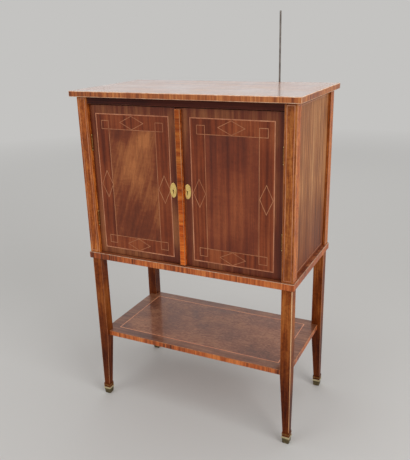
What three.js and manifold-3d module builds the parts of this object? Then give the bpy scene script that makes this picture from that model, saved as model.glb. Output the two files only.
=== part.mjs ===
// Gramophone cabinet: an inlaid mahogany case on four square tapering legs with a lower shelf.
// The top is a lid over the turntable deck, two doors cover the horn mouth, and a slim rod slides
// in a bracket behind the case.
// Units are millimetres. +X is to the right seen from the front, +Y goes to the back, +Z is up.
// The origin is on the floor, under the middle of the case.
import * as THREE from "three";
import { mergeVertices } from "three/addons/utils/BufferGeometryUtils.js";
import Module from "manifold-3d";

const wasm = await Module();
wasm.setup();

// ---------------------------------------------------------------- driving dimensions
// Case and stand
const caseWidth = 720;
const caseDepth = 384;
const plateUnderside = 545;
const plateThickness = 22;
const plateProud = 4;
const postSide = 36;
const panelRecess = 8;
const panelThickness = 12;
const backThickness = 9;
const legInset = 2.5;
const legSide = 34;
const footSide = 22;
const tenonSide = 17;
const tenonBottom = 9;
const sabotHeight = 43;
const sabotRimSide = 27;
const sabotSoleSide = 21;
const sabotCollarSide = 24.5;
const shelfTop = 262;
const shelfThickness = 18;
const shelfInset = 14;
const tenonRoot = 5;

// Rails, lid and its hinge
const frontRailHeight = 22;
const frontRailDepth = 28;
const frontRailRecess = 3;
const backRailHeight = 26;
const backRailDepth = 26;
const lidThickness = 17.5;
const lidGap = 0.5;
const lidSideOverhang = 16.5;
const lidFrontOverhang = 17.5;
const lidBackOverhang = 7;
const lidHingeLength = 560;
const lidHingeLeaf = 1.2;
const lidHingeLeafWidth = 20;
const lidHingeKnuckle = 2.7;
const lidHingePin = 1;
const lidHingeSegments = 5;
const lidHingeLeafGap = 0.6;
const lidHingeFromBack = 0.5;
const lidHingeRoom = 0.5;
const lidRange = 75;
const stayRadius = 110;
const stayBarWidth = 10;
const stayBarThickness = 3;
const stayInset = 3;
const stayFootThickness = 3;
const stayFootLength = 40;
const stayGuideHeight = 13;
const stayGuideWall = 4;

// Doors and their fittings
const doorThickness = 18;
const doorRecess = 12;
const doorSideGap = 2;
const doorBottomGap = 2;
const doorTopGap = 3;
const doorMeetingGap = 1.5;
const stripWidth = 18;
const stripLeft = -12.75;
const stripEndMargin = 3;
const hingeHeight = 40;
const hingeFromEnd = 120;
const hingeKnuckle = 2.5;
const hingePin = 1;
const hingeLeaf = 0.7;
const hingeLeafReach = 18;
const hingePinFinial = 3;
const hingeFromPost = 0.2;
const hingeFromDoor = 0.5;
const escutcheonWidth = 23;
const escutcheonHeight = 47;
const escutcheonThickness = 1.6;
const escutcheonFromMeeting = 17.5;
const rightKeyholeX = 17.5;
const keyholeHeight = 811.5;
const keyholeRadius = 2.4;
const keyholeSlot = 2.4;
const keyholeLength = 11;
const lockCaseWidth = 48;
const lockCaseHeight = 52;
const lockCaseDepth = 13;
const lockWall = 2;
const lockFromEdge = 3;
const lockBoltWidth = 8;
const lockBoltHeight = 14;
const lockBoltLength = 26;
const lockBoltThrow = 9;
const doorBoltRadius = 4;
const doorBoltLength = 84;
const doorBoltThrow = 12;
const boltHoleSpare = 2;
const doorBoltFromMeeting = 16;
const thumbSlotWidth = 6;
const thumbSlotLength = 32;

// Deck, and the well over it that the lid closes
const wellDepth = 128;
const deckThickness = 14;
const deckHousing = 6;
const spindleX = -60;
const spindleY = 10;
const spindleRadius = 4;
const recordPinRadius = 3.6;
const recordPinHeight = 15;
const turntableRadius = 127;
const turntableRise = 24;
const turntableRimDepth = 18;
const turntableSheet = 3;
const turntableHubRadius = 16;
const tonearmX = 150;
const tonearmY = 128;
const tonearmRadius = 13;
const tonearmWall = 1.5;
const tonearmHeight = 62;
const tonearmReach = 196;
const tonearmFlange = 32;
const tonearmFlangeThickness = 4;
const tonearmNeckHeight = 20;
const tonearmBend = 22;
const needleReach = 240;
const neckRadius = 9;
const neckCollar = 5;
const neckStub = 6;
const neckSideways = 8;
const neckTurnStart = 22;
const neckTurnEnd = 33;
const soundboxRadius = 25;
const soundboxThickness = 15;
const needleClearance = 6;
const needleRadius = 1;
const needleLength = 9;
const chuckLength = 7;
const chuckRadius = 3.2;
const chuckSetback = 3;
const chuckInDisc = 5;
const needleSetback = 6;
const needleInChuck = 2;
const brakeX = 60;
const brakeY = -60;
const brakeLength = 46;
const brakeLeverHeight = 9;
const brakeLeverWidth = 8;
const brakeLeverThickness = 3;
const brakePostRadius = 5;
const brakePadWidth = 6;
const brakePadDepth = 7;
const brakeGap = 0.8;
const speedKnobX = 75;
const speedKnobY = -112;
const speedKnobRadius = 13;
const speedKnobHeight = 12.5;
const speedPointerReach = 5;
const crankX = 262;
const crankY = -95;
const crankArm = 120;
const crankArmWidth = 10;
const crankArmThickness = 8;
const crankShaftRadius = 4.2;
const crankShaftLength = 62;
const crankGripLength = 66;
const crankGripRadius = 9;
const crankGripNeck = 6.5;

// Motor under the deck
const motorHeight = 96;
const motorPlate = 4;
const motorPillar = 5;
const barrelRadius = 45;
const gearModule = 1.5;
const barrelTeeth = 72;
const pinionTeeth = 14;
const gearWidth = 6;
const pinionWidth = 9;
const gearBacklash = 0.55;
const wormWheelRadius = 18;
const wormRadius = 6;
const wormClearance = 0.5;
const wormWheelWidth = 8;
const wormLength = 22;
const gearBelowPlate = 16;
const drumAboveFloor = 6;
const drumBelowGear = 3;
const arborRadius = 5;
const governorLength = 116;
const governorAboveFloor = 9;
const governorRod = 2.5;
const governorBall = 7;
const governorBallOffset = 15;
const governorSpan = 18;
const governorBallPlace = 35;
const governorHub = 5;
const governorSpring = 0.9;
const governorDisc = 16;
const governorDiscPlace = 49;
const bearingThickness = 4;
const bearingHalf = 7;
const pillarInset = 8;
const motorLeftMargin = 14;
const motorRightMargin = 36;
const windingShaftRadius = 4;
const windingWormRadius = 8;
const windingWormLength = 40;
const windingShaftRise = 38;
const windingSquare = 4;
const windingSquareDepth = 8;
const bushFlangeRadius = 17;
const bushSleeveRadius = 8;
const bushBoreRadius = 4.6;
const bushFlange = 2.4;

// Horn and the board in front of it
const fasciaThickness = 12;
const hornMouthWidth = 430;
const hornMouthHeight = 230;
const hornFloorGap = 27;
const hornMotorGap = 13.7;
const hornThroatSide = 44;
const hornWall = 6;
const throatHeight = 56;
const hornSteps = 10;
const throatRadius = 20;
const throatWall = 3;
const throatFlange = 4;

// Rod behind the case
const rodRadius = 3;
const rodX = 167.5;
const rodAboveLid = 222;
const rodLength = 448;
const rodBehindCase = 27;
const rodCollarRadius = 5;
const rodCollarHeight = 7;
const bracketBelowTop = 36;
const bracketWidth = 18;
const bracketPlate = 2.5;
const clipHeight = 10;
const clipRadius = 6;
const clipArmWidth = 6;
const bracketTail = 8;

// Clearances
const seat = 0.3;
const running = 0.3;

// ---------------------------------------------------------------- derived places
const halfWidth = caseWidth / 2;
const halfDepth = caseDepth / 2;
const plateTop = plateUnderside + plateThickness;
// The case is as high as what it holds: the horn, the motor, the deck and the well, one over another.
const hornMouthMiddle = plateTop + hornFloorGap + hornWall + hornMouthHeight / 2;
const motorBottom = hornMouthMiddle + hornMouthHeight / 2 + hornWall + hornMotorGap;
const motorTop = motorBottom + motorHeight;
const deckBottom = motorTop + seat;
const deckTop = deckBottom + deckThickness;
const caseTop = deckTop + wellDepth;
const hornThroatTop = deckBottom - throatHeight;
const postInnerX = halfWidth - postSide;
const postInnerY = halfDepth - postSide;
const panelOuter = halfWidth - panelRecess;
const panelInner = panelOuter - panelThickness;
const doorFront = -halfDepth + doorRecess;
const doorBack = doorFront + doorThickness;
const doorMiddleY = doorFront + doorThickness / 2;
const railBottom = caseTop - frontRailHeight;
const railFront = -halfDepth + frontRailRecess;
const railBack = railFront + frontRailDepth;
const doorBottom = plateTop + doorBottomGap;
const doorTop = railBottom - doorTopGap;
const doorOuterX = postInnerX - doorSideGap;
const leftDoorEdge = stripLeft - doorMeetingGap;
const hingeX = postInnerX - hingeKnuckle - hingeFromPost;
const hingeY = doorFront - hingeKnuckle - hingeFromDoor;
const fasciaFront = railBack + seat;
const fasciaBack = fasciaFront + fasciaThickness;
const turntableTop = deckTop + turntableRise;
const backInner = halfDepth - backThickness;
const backRailTop = caseTop - 2 * lidHingeLeaf - lidHingeLeafGap + lidGap;
const lidUnderside = caseTop + lidGap;
const lidTop = lidUnderside + lidThickness;
const lidBack = halfDepth + lidBackOverhang;
const lidHingeY = halfDepth + lidHingeKnuckle + lidHingeFromBack;
const lidHingeZ = (backRailTop + lidUnderside) / 2;
const legOuterX = halfWidth - legInset;
const legOuterY = halfDepth - legInset;
const shelfBottom = shelfTop - shelfThickness;
const motorFloor = motorBottom + motorPlate;
const gearDistance = (gearModule * (barrelTeeth + pinionTeeth)) / 2 + 0.3;
const barrelX = spindleX - gearDistance;
const gearBottom = motorTop - motorPlate - gearBelowPlate;
const governorX = spindleX + wormWheelRadius + wormRadius + wormClearance;
const governorZ = motorFloor + governorBallOffset + governorBall + governorAboveFloor;
const windingY = spindleY - barrelRadius - windingWormRadius - 1;
const windingZ = motorFloor + windingShaftRise;
const rodY = halfDepth + rodBehindCase;
const rodTip = lidTop + rodAboveLid;
const bracketTop = caseTop - bracketBelowTop;

const corners = [
  { name: "front_left", sx: -1, sy: -1 },
  { name: "front_right", sx: 1, sy: -1 },
  { name: "rear_left", sx: -1, sy: 1 },
  { name: "rear_right", sx: 1, sy: 1 },
];

// ---------------------------------------------------------------- materials
function finish(colour, roughness, metalness = 0) {
  return () => new THREE.MeshStandardMaterial({ color: colour, roughness, metalness });
}
const mahogany = finish(0x6b3520, 0.32);
const mahoganyLight = finish(0x8f4c28, 0.35);
const mahoganyDark = finish(0x4a2418, 0.4);
const satinwood = finish(0xa4562c, 0.35);
const deal = finish(0x8a6a48, 0.7);
const brass = finish(0xb69a5c, 0.3, 1);
const oldBrass = finish(0x4c4a2e, 0.45, 1);
const nickel = finish(0xb8b4aa, 0.22, 1);
const steel = finish(0x77736d, 0.35, 1);
const castIron = finish(0x2c2c2e, 0.6, 0.6);

// ---------------------------------------------------------------- geometry helpers
const vec2 = (x, y) => new THREE.Vector2(x, y);
const vec3 = (x, y, z) => new THREE.Vector3(x, y, z);

// A manifold solid of a closed geometry, read by position alone.
function solid(geometry) {
  const bare = geometry.index ? geometry.toNonIndexed() : geometry.clone();
  bare.deleteAttribute("normal");
  bare.deleteAttribute("uv");
  const merged = mergeVertices(bare, 1e-3);
  const vertProperties = merged.attributes.position.array;
  const triVerts = new Uint32Array(merged.index.array);
  return new wasm.Manifold(new wasm.Mesh({ numProp: 3, vertProperties, triVerts }));
}

// The geometry of a manifold solid.
function geometryOf(manifold) {
  const mesh = manifold.getMesh();
  const geometry = new THREE.BufferGeometry();
  geometry.setAttribute("position", new THREE.BufferAttribute(mesh.vertProperties, 3));
  geometry.setIndex(new THREE.BufferAttribute(mesh.triVerts, 1));
  geometry.computeVertexNormals();
  return geometry;
}

function joined(parts) {
  const solids = parts.map(solid);
  return geometryOf(solids.reduce((sum, next) => sum.add(next)));
}

// Cutting tools run 1 mm or so past the faces that they open.
function cut(base, tools) {
  const solids = tools.map(solid);
  return geometryOf(solids.reduce((rest, tool) => rest.subtract(tool), solid(base)));
}

// A box between two values on each axis, given in either order.
function block(x0, x1, y0, y1, z0, z1) {
  const geometry = new THREE.BoxGeometry(Math.abs(x1 - x0), Math.abs(y1 - y0), Math.abs(z1 - z0));
  return geometry.translate((x0 + x1) / 2, (y0 + y1) / 2, (z0 + z1) / 2);
}

// A round bar between two points.
function bar(radius, from, to, segments = 20, endRadius = radius) {
  const along = to.clone().sub(from);
  const geometry = new THREE.CylinderGeometry(endRadius, radius, along.length(), segments);
  const turn = new THREE.Quaternion().setFromUnitVectors(vec3(0, 1, 0), along.clone().normalize());
  geometry.applyQuaternion(turn);
  const middle = from.clone().add(to).multiplyScalar(0.5);
  return geometry.translate(middle.x, middle.y, middle.z);
}

function upright(radius, x, y, z0, z1, segments = 20) {
  return bar(radius, vec3(x, y, z0), vec3(x, y, z1), segments);
}

// A turned piece about the vertical axis, from [radius, height] points that climb outside.
function turned(profile, segments) {
  const points = profile.map(([radius, height]) => vec2(radius, height));
  return new THREE.LatheGeometry(points, segments).rotateX(Math.PI / 2);
}

// A flat plate cut to an outline of [x, y] points, between two heights.
function plate(points, z0, z1) {
  const shape = new THREE.Shape(points.map(([x, y]) => vec2(x, y)));
  const depth = z1 - z0;
  return new THREE.ExtrudeGeometry(shape, { depth, bevelEnabled: false }).translate(0, 0, z0);
}

// A closed solid through rings of corner points, each ring counter-clockwise seen from ahead.
function loft(rings) {
  const count = rings[0].length;
  const points = rings.flat();
  const faces = [];
  for (let ring = 0; ring < rings.length - 1; ring += 1) {
    for (let corner = 0; corner < count; corner += 1) {
      const next = (corner + 1) % count;
      const a = ring * count + corner;
      const b = ring * count + next;
      faces.push(a, b, b + count, a, b + count, a + count);
    }
  }
  const last = (rings.length - 1) * count;
  for (let corner = 1; corner < count - 1; corner += 1) {
    faces.push(0, corner + 1, corner);
    faces.push(last, last + corner, last + corner + 1);
  }
  const geometry = new THREE.BufferGeometry().setFromPoints(points);
  geometry.setIndex(faces);
  geometry.computeVertexNormals();
  return geometry;
}

function rectangle(x0, x1, y0, y1, z) {
  const [left, right] = [Math.min(x0, x1), Math.max(x0, x1)];
  const [front, back] = [Math.min(y0, y1), Math.max(y0, y1)];
  return [vec3(left, front, z), vec3(right, front, z), vec3(right, back, z), vec3(left, back, z)];
}

function square(x, y, side, z) {
  return rectangle(x - side / 2, x + side / 2, y - side / 2, y + side / 2, z);
}

// The outline of a spur gear with straight-sided teeth, one tooth centred on the given angle.
function gear(teeth, phase, thickness, z) {
  const pitch = (gearModule * teeth) / 2;
  const tip = pitch + 0.72 * gearModule;
  const root = pitch - 1.15 * gearModule;
  const toothAtPitch = (Math.PI * gearModule) / 2 - gearBacklash;
  const rootHalf = (toothAtPitch * 0.72) / root;
  const tipHalf = (toothAtPitch * 0.27) / tip;
  const shape = new THREE.Shape();
  for (let tooth = 0; tooth < teeth; tooth += 1) {
    const middle = phase + (tooth * 2 * Math.PI) / teeth;
    const flank = [
      [root, middle - rootHalf],
      [tip, middle - tipHalf],
      [tip, middle + tipHalf],
      [root, middle + rootHalf],
    ];
    for (const [radius, angle] of flank) {
      const x = radius * Math.cos(angle);
      const y = radius * Math.sin(angle);
      if (tooth === 0 && shape.curves.length === 0 && angle === flank[0][1]) shape.moveTo(x, y);
      else shape.lineTo(x, y);
    }
  }
  const options = { depth: thickness, bevelEnabled: false };
  return new THREE.ExtrudeGeometry(shape, options).translate(0, 0, z);
}

// ---------------------------------------------------------------- the object
const cabinet = new THREE.Group();

function place(name, geometry, material, position = vec3(0, 0, 0), parent = cabinet) {
  const mesh = new THREE.Mesh(geometry, material());
  mesh.name = name;
  mesh.position.copy(position);
  parent.add(mesh);
  return mesh;
}

// ---- stand: legs, brass shoes, base plate and shelf
function legGeometry(sx, sy) {
  const ring = (side, z) => {
    const innerX = sx * (legOuterX - side);
    const innerY = sy * (legOuterY - side);
    return rectangle(sx * legOuterX, innerX, sy * legOuterY, innerY, z);
  };
  const stem = [ring(footSide, sabotHeight), ring(legSide, shelfBottom), ring(legSide, plateUnderside)];
  const tenonX = sx * (legOuterX - footSide / 2);
  const tenonY = sy * (legOuterY - footSide / 2);
  const tenonTop = sabotHeight + tenonRoot;
  const tenonHalf = tenonSide / 2;
  const tenon = block(
    tenonX - tenonHalf,
    tenonX + tenonHalf,
    tenonY - tenonHalf,
    tenonY + tenonHalf,
    tenonBottom,
    tenonTop,
  );
  return joined([loft(stem), tenon]);
}

function sabotGeometry() {
  const layers = [
    [sabotSoleSide - 2, 0],
    [sabotSoleSide, 2],
    [sabotSoleSide + 2.5, 17],
    [sabotCollarSide - 2.5, 19],
    [sabotRimSide, 21],
    [sabotRimSide, 25],
    [sabotCollarSide, 27],
    [sabotCollarSide, 33],
    [sabotCollarSide + 1.5, 34.5],
    [sabotCollarSide + 1.5, 36.5],
    [sabotCollarSide, 38],
    [sabotCollarSide, sabotHeight - seat],
  ];
  const body = loft(layers.map(([side, z]) => square(0, 0, side, z)));
  const socketHalf = tenonSide / 2 + seat;
  const socketTop = sabotHeight + 1;
  const socket = block(-socketHalf, socketHalf, -socketHalf, socketHalf, tenonBottom - seat, socketTop);
  return cut(body, [socket]);
}

function addStand() {
  for (const { name, sx, sy } of corners) {
    place(`leg_${name}`, legGeometry(sx, sy), mahoganyLight);
    const shoe = vec3(sx * (legOuterX - footSide / 2), sy * (legOuterY - footSide / 2), 0);
    place(`sabot_${name}`, sabotGeometry(), oldBrass, shoe);
  }
  const plateX = halfWidth + plateProud;
  const plateY = halfDepth + plateProud;
  const boltHole = upright(
    doorBoltRadius + running,
    leftDoorEdge - doorBoltFromMeeting,
    doorMiddleY,
    plateTop - doorBoltThrow - boltHoleSpare,
    plateTop + 1,
    16,
  );
  const basePlate = block(-plateX, plateX, -plateY, plateY, plateUnderside, plateTop);
  place("base_plate", cut(basePlate, [boltHole]), mahogany);

  const outerX = halfWidth - shelfInset;
  const outerY = halfDepth - shelfInset;
  const notchX = legOuterX - legSide - seat;
  const notchY = legOuterY - legSide - seat;
  const outline = [
    [-notchX, -outerY],
    [notchX, -outerY],
    [notchX, -notchY],
    [outerX, -notchY],
    [outerX, notchY],
    [notchX, notchY],
    [notchX, outerY],
    [-notchX, outerY],
    [-notchX, notchY],
    [-outerX, notchY],
    [-outerX, -notchY],
    [-notchX, -notchY],
  ];
  place("lower_shelf", plate(outline, shelfBottom, shelfTop), mahogany);
}

// ---- case: posts, panels and rails
function addCase() {
  for (const { name, sx, sy } of corners) {
    const post = block(-postSide / 2, postSide / 2, -postSide / 2, postSide / 2, plateTop, caseTop);
    const middle = vec3(sx * (halfWidth - postSide / 2), sy * (halfDepth - postSide / 2), 0);
    place(`post_${name}`, post, satinwood, middle);
  }
  for (const [side, sx] of [["left", -1], ["right", 1]]) {
    const panel = block(sx * panelInner, sx * panelOuter, -postInnerY, postInnerY, plateTop, caseTop);
    const groove = block(
      sx * (panelInner - 1),
      sx * (panelInner + deckHousing + seat),
      -postInnerY - 1,
      postInnerY + 1,
      deckBottom - seat,
      deckTop + seat,
    );
    const tools = [groove];
    if (sx < 0) {
      tools.push(bar(bushSleeveRadius + seat, windingPoint(-panelOuter - 1), windingPoint(-panelInner + 1)));
    }
    place(`side_panel_${side}`, cut(panel, tools), mahogany);
  }
  const back = block(-postInnerX, postInnerX, backInner, halfDepth, plateTop, backRailTop - backRailHeight);
  place("back_panel", back, mahoganyDark);
  const backRail = block(
    -postInnerX,
    postInnerX,
    halfDepth - backRailDepth,
    halfDepth,
    backRailTop - backRailHeight,
    backRailTop,
  );
  place("back_rail", backRail, mahoganyDark);
  const rail = block(-postInnerX, postInnerX, railFront, railBack, railBottom, caseTop);
  const boltHole = upright(
    doorBoltRadius + running,
    leftDoorEdge - doorBoltFromMeeting,
    doorMiddleY,
    railBottom - 1,
    railBottom + doorBoltThrow - doorTopGap + boltHoleSpare,
    16,
  );
  place("front_rail", cut(rail, [boltHole]), mahoganyDark);
}

// ---- doors
function keyhole(depth) {
  const round = new THREE.CylinderGeometry(keyholeRadius, keyholeRadius, depth, 16);
  const slot = block(-keyholeSlot / 2, keyholeSlot / 2, -depth / 2, depth / 2, -keyholeLength, 0);
  return joined([round, slot]);
}

function escutcheonGeometry() {
  const outline = new THREE.Shape();
  outline.absellipse(0, 0, escutcheonWidth / 2, escutcheonHeight / 2, 0, Math.PI * 2, false, 0);
  const options = { depth: escutcheonThickness, bevelEnabled: false, curveSegments: 28 };
  const blank = new THREE.ExtrudeGeometry(outline, options);
  blank.rotateX(Math.PI / 2);
  const through = keyhole(escutcheonThickness * 4);
  return cut(blank, [through]);
}

function rightDoorGeometry() {
  const door = block(stripLeft, doorOuterX, doorFront, doorBack, doorBottom, doorTop);
  const lockZ = keyholeHeight - lockCaseHeight / 2;
  const lockPocket = block(
    stripLeft + lockFromEdge,
    stripLeft + lockFromEdge + lockCaseWidth + 2 * seat,
    doorBack - lockCaseDepth - seat,
    doorBack + 1,
    lockZ - seat,
    lockZ + lockCaseHeight + seat,
  );
  const boltWay = lockBoltWay(running, stripLeft - 1, stripLeft + lockFromEdge + 1);
  const hole = keyhole(doorThickness * 3).translate(rightKeyholeX, doorFront, keyholeHeight);
  return cut(door, [lockPocket, boltWay, hole]);
}

// The space along X that the lock's bolt needs.
function lockBoltWay(gap, x0, x1) {
  const middleY = doorBack - lockCaseDepth / 2;
  const halfY = lockBoltWidth / 2 + gap;
  const halfZ = lockBoltHeight / 2 + gap;
  const z = keyholeHeight + lockBoltHeight;
  return block(x0, x1, middleY - halfY, middleY + halfY, z - halfZ, z + halfZ);
}

function lockCaseGeometry() {
  const left = stripLeft + lockFromEdge + seat;
  const right = left + lockCaseWidth;
  const front = doorBack - lockCaseDepth;
  const low = keyholeHeight - lockCaseHeight / 2;
  const high = low + lockCaseHeight;
  const body = block(left, right, front, doorBack, low, high);
  const cavity = block(
    left + lockWall,
    right - lockWall,
    front + lockWall,
    doorBack - lockWall,
    low + lockWall,
    high - lockWall,
  );
  const boltWay = lockBoltWay(running, left - 1, left + lockWall + 1);
  const hole = keyhole(lockWall * 4).translate(rightKeyholeX, front, keyholeHeight);
  return cut(body, [cavity, boltWay, hole]);
}

function leftDoorGeometry() {
  const door = block(-doorOuterX, leftDoorEdge, doorFront, doorBack, doorBottom, doorTop);
  const boltX = leftDoorEdge - doorBoltFromMeeting;
  const depth = doorBoltLength + boltHoleSpare;
  const bore = doorBoltRadius + running;
  const topBore = upright(bore, boltX, doorMiddleY, doorTop - depth, doorTop + 1, 16);
  const bottomBore = upright(bore, boltX, doorMiddleY, doorBottom - 1, doorBottom + depth, 16);
  const slots = [doorTop - doorBoltLength / 2, doorBottom + doorBoltLength / 2].map((z) =>
    block(
      boltX - thumbSlotWidth / 2,
      boltX + thumbSlotWidth / 2,
      doorMiddleY,
      doorBack + 1,
      z - thumbSlotLength / 2,
      z + thumbSlotLength / 2,
    ),
  );
  const strikeDepth = lockBoltThrow + boltHoleSpare;
  const strike = lockBoltWay(2 * running, leftDoorEdge - strikeDepth, leftDoorEdge + 1);
  const blind = keyhole(8).translate(leftDoorEdge - escutcheonFromMeeting, doorFront, keyholeHeight);
  return cut(door, [topBore, bottomBore, ...slots, strike, blind]);
}

// A sliding bolt of the left door, retracted, pointing up or down.
function doorBoltGeometry(direction) {
  const end = direction > 0 ? doorTop : doorBottom;
  const boltX = leftDoorEdge - doorBoltFromMeeting;
  const tipZ = end - direction * 0.5;
  const tailZ = end - direction * doorBoltLength;
  const rod = bar(doorBoltRadius, vec3(boltX, doorMiddleY, tailZ), vec3(boltX, doorMiddleY, tipZ), 16);
  const thumbZ = end - direction * (doorBoltLength / 2 + doorBoltThrow / 2);
  const half = thumbSlotWidth / 2 - running;
  const thumb = block(boltX - half, boltX + half, doorMiddleY, doorBack - 0.5, thumbZ - 4, thumbZ + 4);
  return joined([rod, thumb]);
}

// The post's half of a butt hinge: leaf, two end knuckles and the pin.
function fixedLeafGeometry(side) {
  const third = hingeHeight / 3;
  const axisX = side * hingeX;
  const leafX = side * postInnerX;
  const leaf = block(leafX - side * hingeLeaf, leafX, hingeY, hingeY + hingeLeafReach, 0, hingeHeight);
  const gapForDoor = block(
    leafX - side * hingeLeaf - 1,
    leafX + 1,
    hingeY - 1,
    hingeY + hingeKnuckle + running,
    third - running,
    2 * third + running,
  );
  const low = upright(hingeKnuckle, axisX, hingeY, 0, third - running, 16);
  const high = upright(hingeKnuckle, axisX, hingeY, 2 * third + running, hingeHeight, 16);
  const pin = upright(hingePin, axisX, hingeY, -hingePinFinial, hingeHeight + hingePinFinial, 12);
  const trimmed = solid(leaf).subtract(solid(gapForDoor));
  const rest = [low, high, pin].map(solid);
  return geometryOf(rest.reduce((sum, next) => sum.add(next), trimmed));
}

// The door's half of a butt hinge: leaf and middle knuckle, bored for the pin.
function doorLeafGeometry(side) {
  const third = hingeHeight / 3;
  const axisX = side * hingeX;
  const edgeX = side * doorOuterX;
  const leaf = block(edgeX, edgeX + side * hingeLeaf, hingeY, hingeY + hingeLeafReach, 0, hingeHeight);
  const span = hingeKnuckle + running;
  const below = block(axisX - span, axisX + span, hingeY - span, hingeY + span, -1, third);
  const above = block(axisX - span, axisX + span, hingeY - span, hingeY + span, 2 * third, hingeHeight + 1);
  const middle = upright(hingeKnuckle, axisX, hingeY, third, 2 * third, 16);
  const bore = upright(hingePin + running, axisX, hingeY, -1, hingeHeight + 1, 12);
  const tools = [below, above, bore].map(solid);
  const body = solid(leaf).subtract(tools[0]).subtract(tools[1]).add(solid(middle));
  return geometryOf(body.subtract(tools[2]));
}

function addDoors() {
  place("left_door", leftDoorGeometry(), mahogany);
  place("right_door", rightDoorGeometry(), mahogany);
  const strip = block(
    stripLeft,
    stripLeft + stripWidth,
    -halfDepth,
    doorFront,
    doorBottom + stripEndMargin / 2,
    doorTop - stripEndMargin,
  );
  place("meeting_strip", strip, satinwood);
  const front = doorFront - seat / 3;
  const leftX = leftDoorEdge - escutcheonFromMeeting;
  place("escutcheon_left", escutcheonGeometry(), brass, vec3(leftX, front, keyholeHeight));
  place("escutcheon_right", escutcheonGeometry(), brass, vec3(rightKeyholeX, front, keyholeHeight));
  place("lock_case", lockCaseGeometry(), brass);
  const boltLeft = stripLeft + seat;
  place("lock_bolt", lockBoltWay(0, boltLeft, boltLeft + lockBoltLength), steel);
  place("left_door_top_bolt", doorBoltGeometry(1), brass);
  place("left_door_bottom_bolt", doorBoltGeometry(-1), brass);
  const heights = [
    ["lower", doorBottom + hingeFromEnd - hingeHeight / 2],
    ["upper", doorTop - hingeFromEnd - hingeHeight / 2],
  ];
  for (const [side, sx] of [["left", -1], ["right", 1]]) {
    for (const [level, z] of heights) {
      place(`${side}_${level}_hinge_post_leaf`, fixedLeafGeometry(sx), oldBrass, vec3(0, 0, z));
      place(`${side}_${level}_hinge_door_leaf`, doorLeafGeometry(sx), oldBrass, vec3(0, 0, z));
    }
  }
}

// ---- lid with its long hinge and quadrant stay
function addLid() {
  const lidX = halfWidth + lidSideOverhang;
  const slab = block(-lidX, lidX, -halfDepth - lidFrontOverhang, lidBack, lidUnderside, lidTop);
  const rebate = block(
    -lidX - 1,
    lidX + 1,
    lidHingeY - lidHingeKnuckle - lidHingeLeafGap,
    lidBack + 1,
    lidUnderside - 1,
    lidHingeZ + lidHingeKnuckle + lidHingeRoom,
  );
  place("lid", cut(slab, [rebate]), mahogany);

  const hingeHalf = lidHingeLength / 2;
  const segment = lidHingeLength / lidHingeSegments;
  const axisPoint = (x) => vec3(x, lidHingeY, lidHingeZ);
  const leafFront = halfDepth - lidHingeLeafWidth;
  const knuckles = (parity) => {
    const pieces = [];
    for (let index = parity; index < lidHingeSegments; index += 2) {
      const from = -hingeHalf + index * segment + running;
      const to = -hingeHalf + (index + 1) * segment - running;
      pieces.push(bar(lidHingeKnuckle, axisPoint(from), axisPoint(to), 16));
    }
    return pieces;
  };
  const clearance = (parity) => {
    const span = lidHingeKnuckle + lidHingeRoom;
    const pieces = [];
    for (let index = parity; index < lidHingeSegments; index += 2) {
      const from = -hingeHalf + index * segment - running;
      const to = -hingeHalf + (index + 1) * segment + running;
      pieces.push(block(from, to, lidHingeY - span, lidHingeY + span, lidHingeZ - span, lidHingeZ + span));
    }
    return pieces;
  };
  const leaf = (z0, z1) => block(-hingeHalf, hingeHalf, leafFront, lidHingeY, z0, z1);
  const lowerLeaf = leaf(backRailTop, backRailTop + lidHingeLeaf);
  const upperLeaf = leaf(lidUnderside - lidHingeLeaf, lidUnderside);
  const pin = bar(lidHingePin, axisPoint(-hingeHalf - 1), axisPoint(hingeHalf + 1), 12);
  const bore = bar(lidHingePin + running, axisPoint(-hingeHalf - 2), axisPoint(hingeHalf + 2), 12);
  const lower = joined([cut(lowerLeaf, clearance(1)), ...knuckles(0), pin]);
  const upper = cut(joined([cut(upperLeaf, clearance(0)), ...knuckles(1)]), [bore]);
  place("lid_hinge_lower_leaf", lower, brass);
  place("lid_hinge_upper_leaf", upper, brass);

  const stayX = postInnerX - stayInset - stayBarThickness;
  place("lid_stay", stayGeometry(), brass, vec3(stayX, lidHingeY, lidHingeZ));
  place("stay_guide", stayGuideGeometry(stayX), brass);
}

// The quadrant bar is centred on the hinge axis, so it slides through its guide as the lid turns.
function stayGeometry() {
  const inner = stayRadius - stayBarWidth / 2;
  const outer = stayRadius + stayBarWidth / 2;
  const start = Math.PI;
  const sweep = Math.PI + THREE.MathUtils.degToRad(lidRange + 7);
  const outline = new THREE.Shape();
  outline.absarc(0, 0, outer, start, sweep, false);
  outline.absarc(0, 0, inner, sweep, start, true);
  outline.closePath();
  const options = { depth: stayBarThickness, bevelEnabled: false, curveSegments: 24 };
  const quadrant = new THREE.ExtrudeGeometry(outline, options);
  // The outline's X becomes the model's Y and its Y becomes Z, so the thickness runs along X.
  quadrant.rotateX(Math.PI / 2).rotateZ(Math.PI / 2);
  const footTop = lidUnderside - lidHingeZ - seat;
  const footFront = -stayRadius - stayFootLength / 2;
  const footBottom = footTop - stayFootThickness;
  const foot = block(0, stayBarThickness, footFront, footFront + stayFootLength, footBottom, footTop);
  return joined([quadrant, foot]);
}

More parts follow.
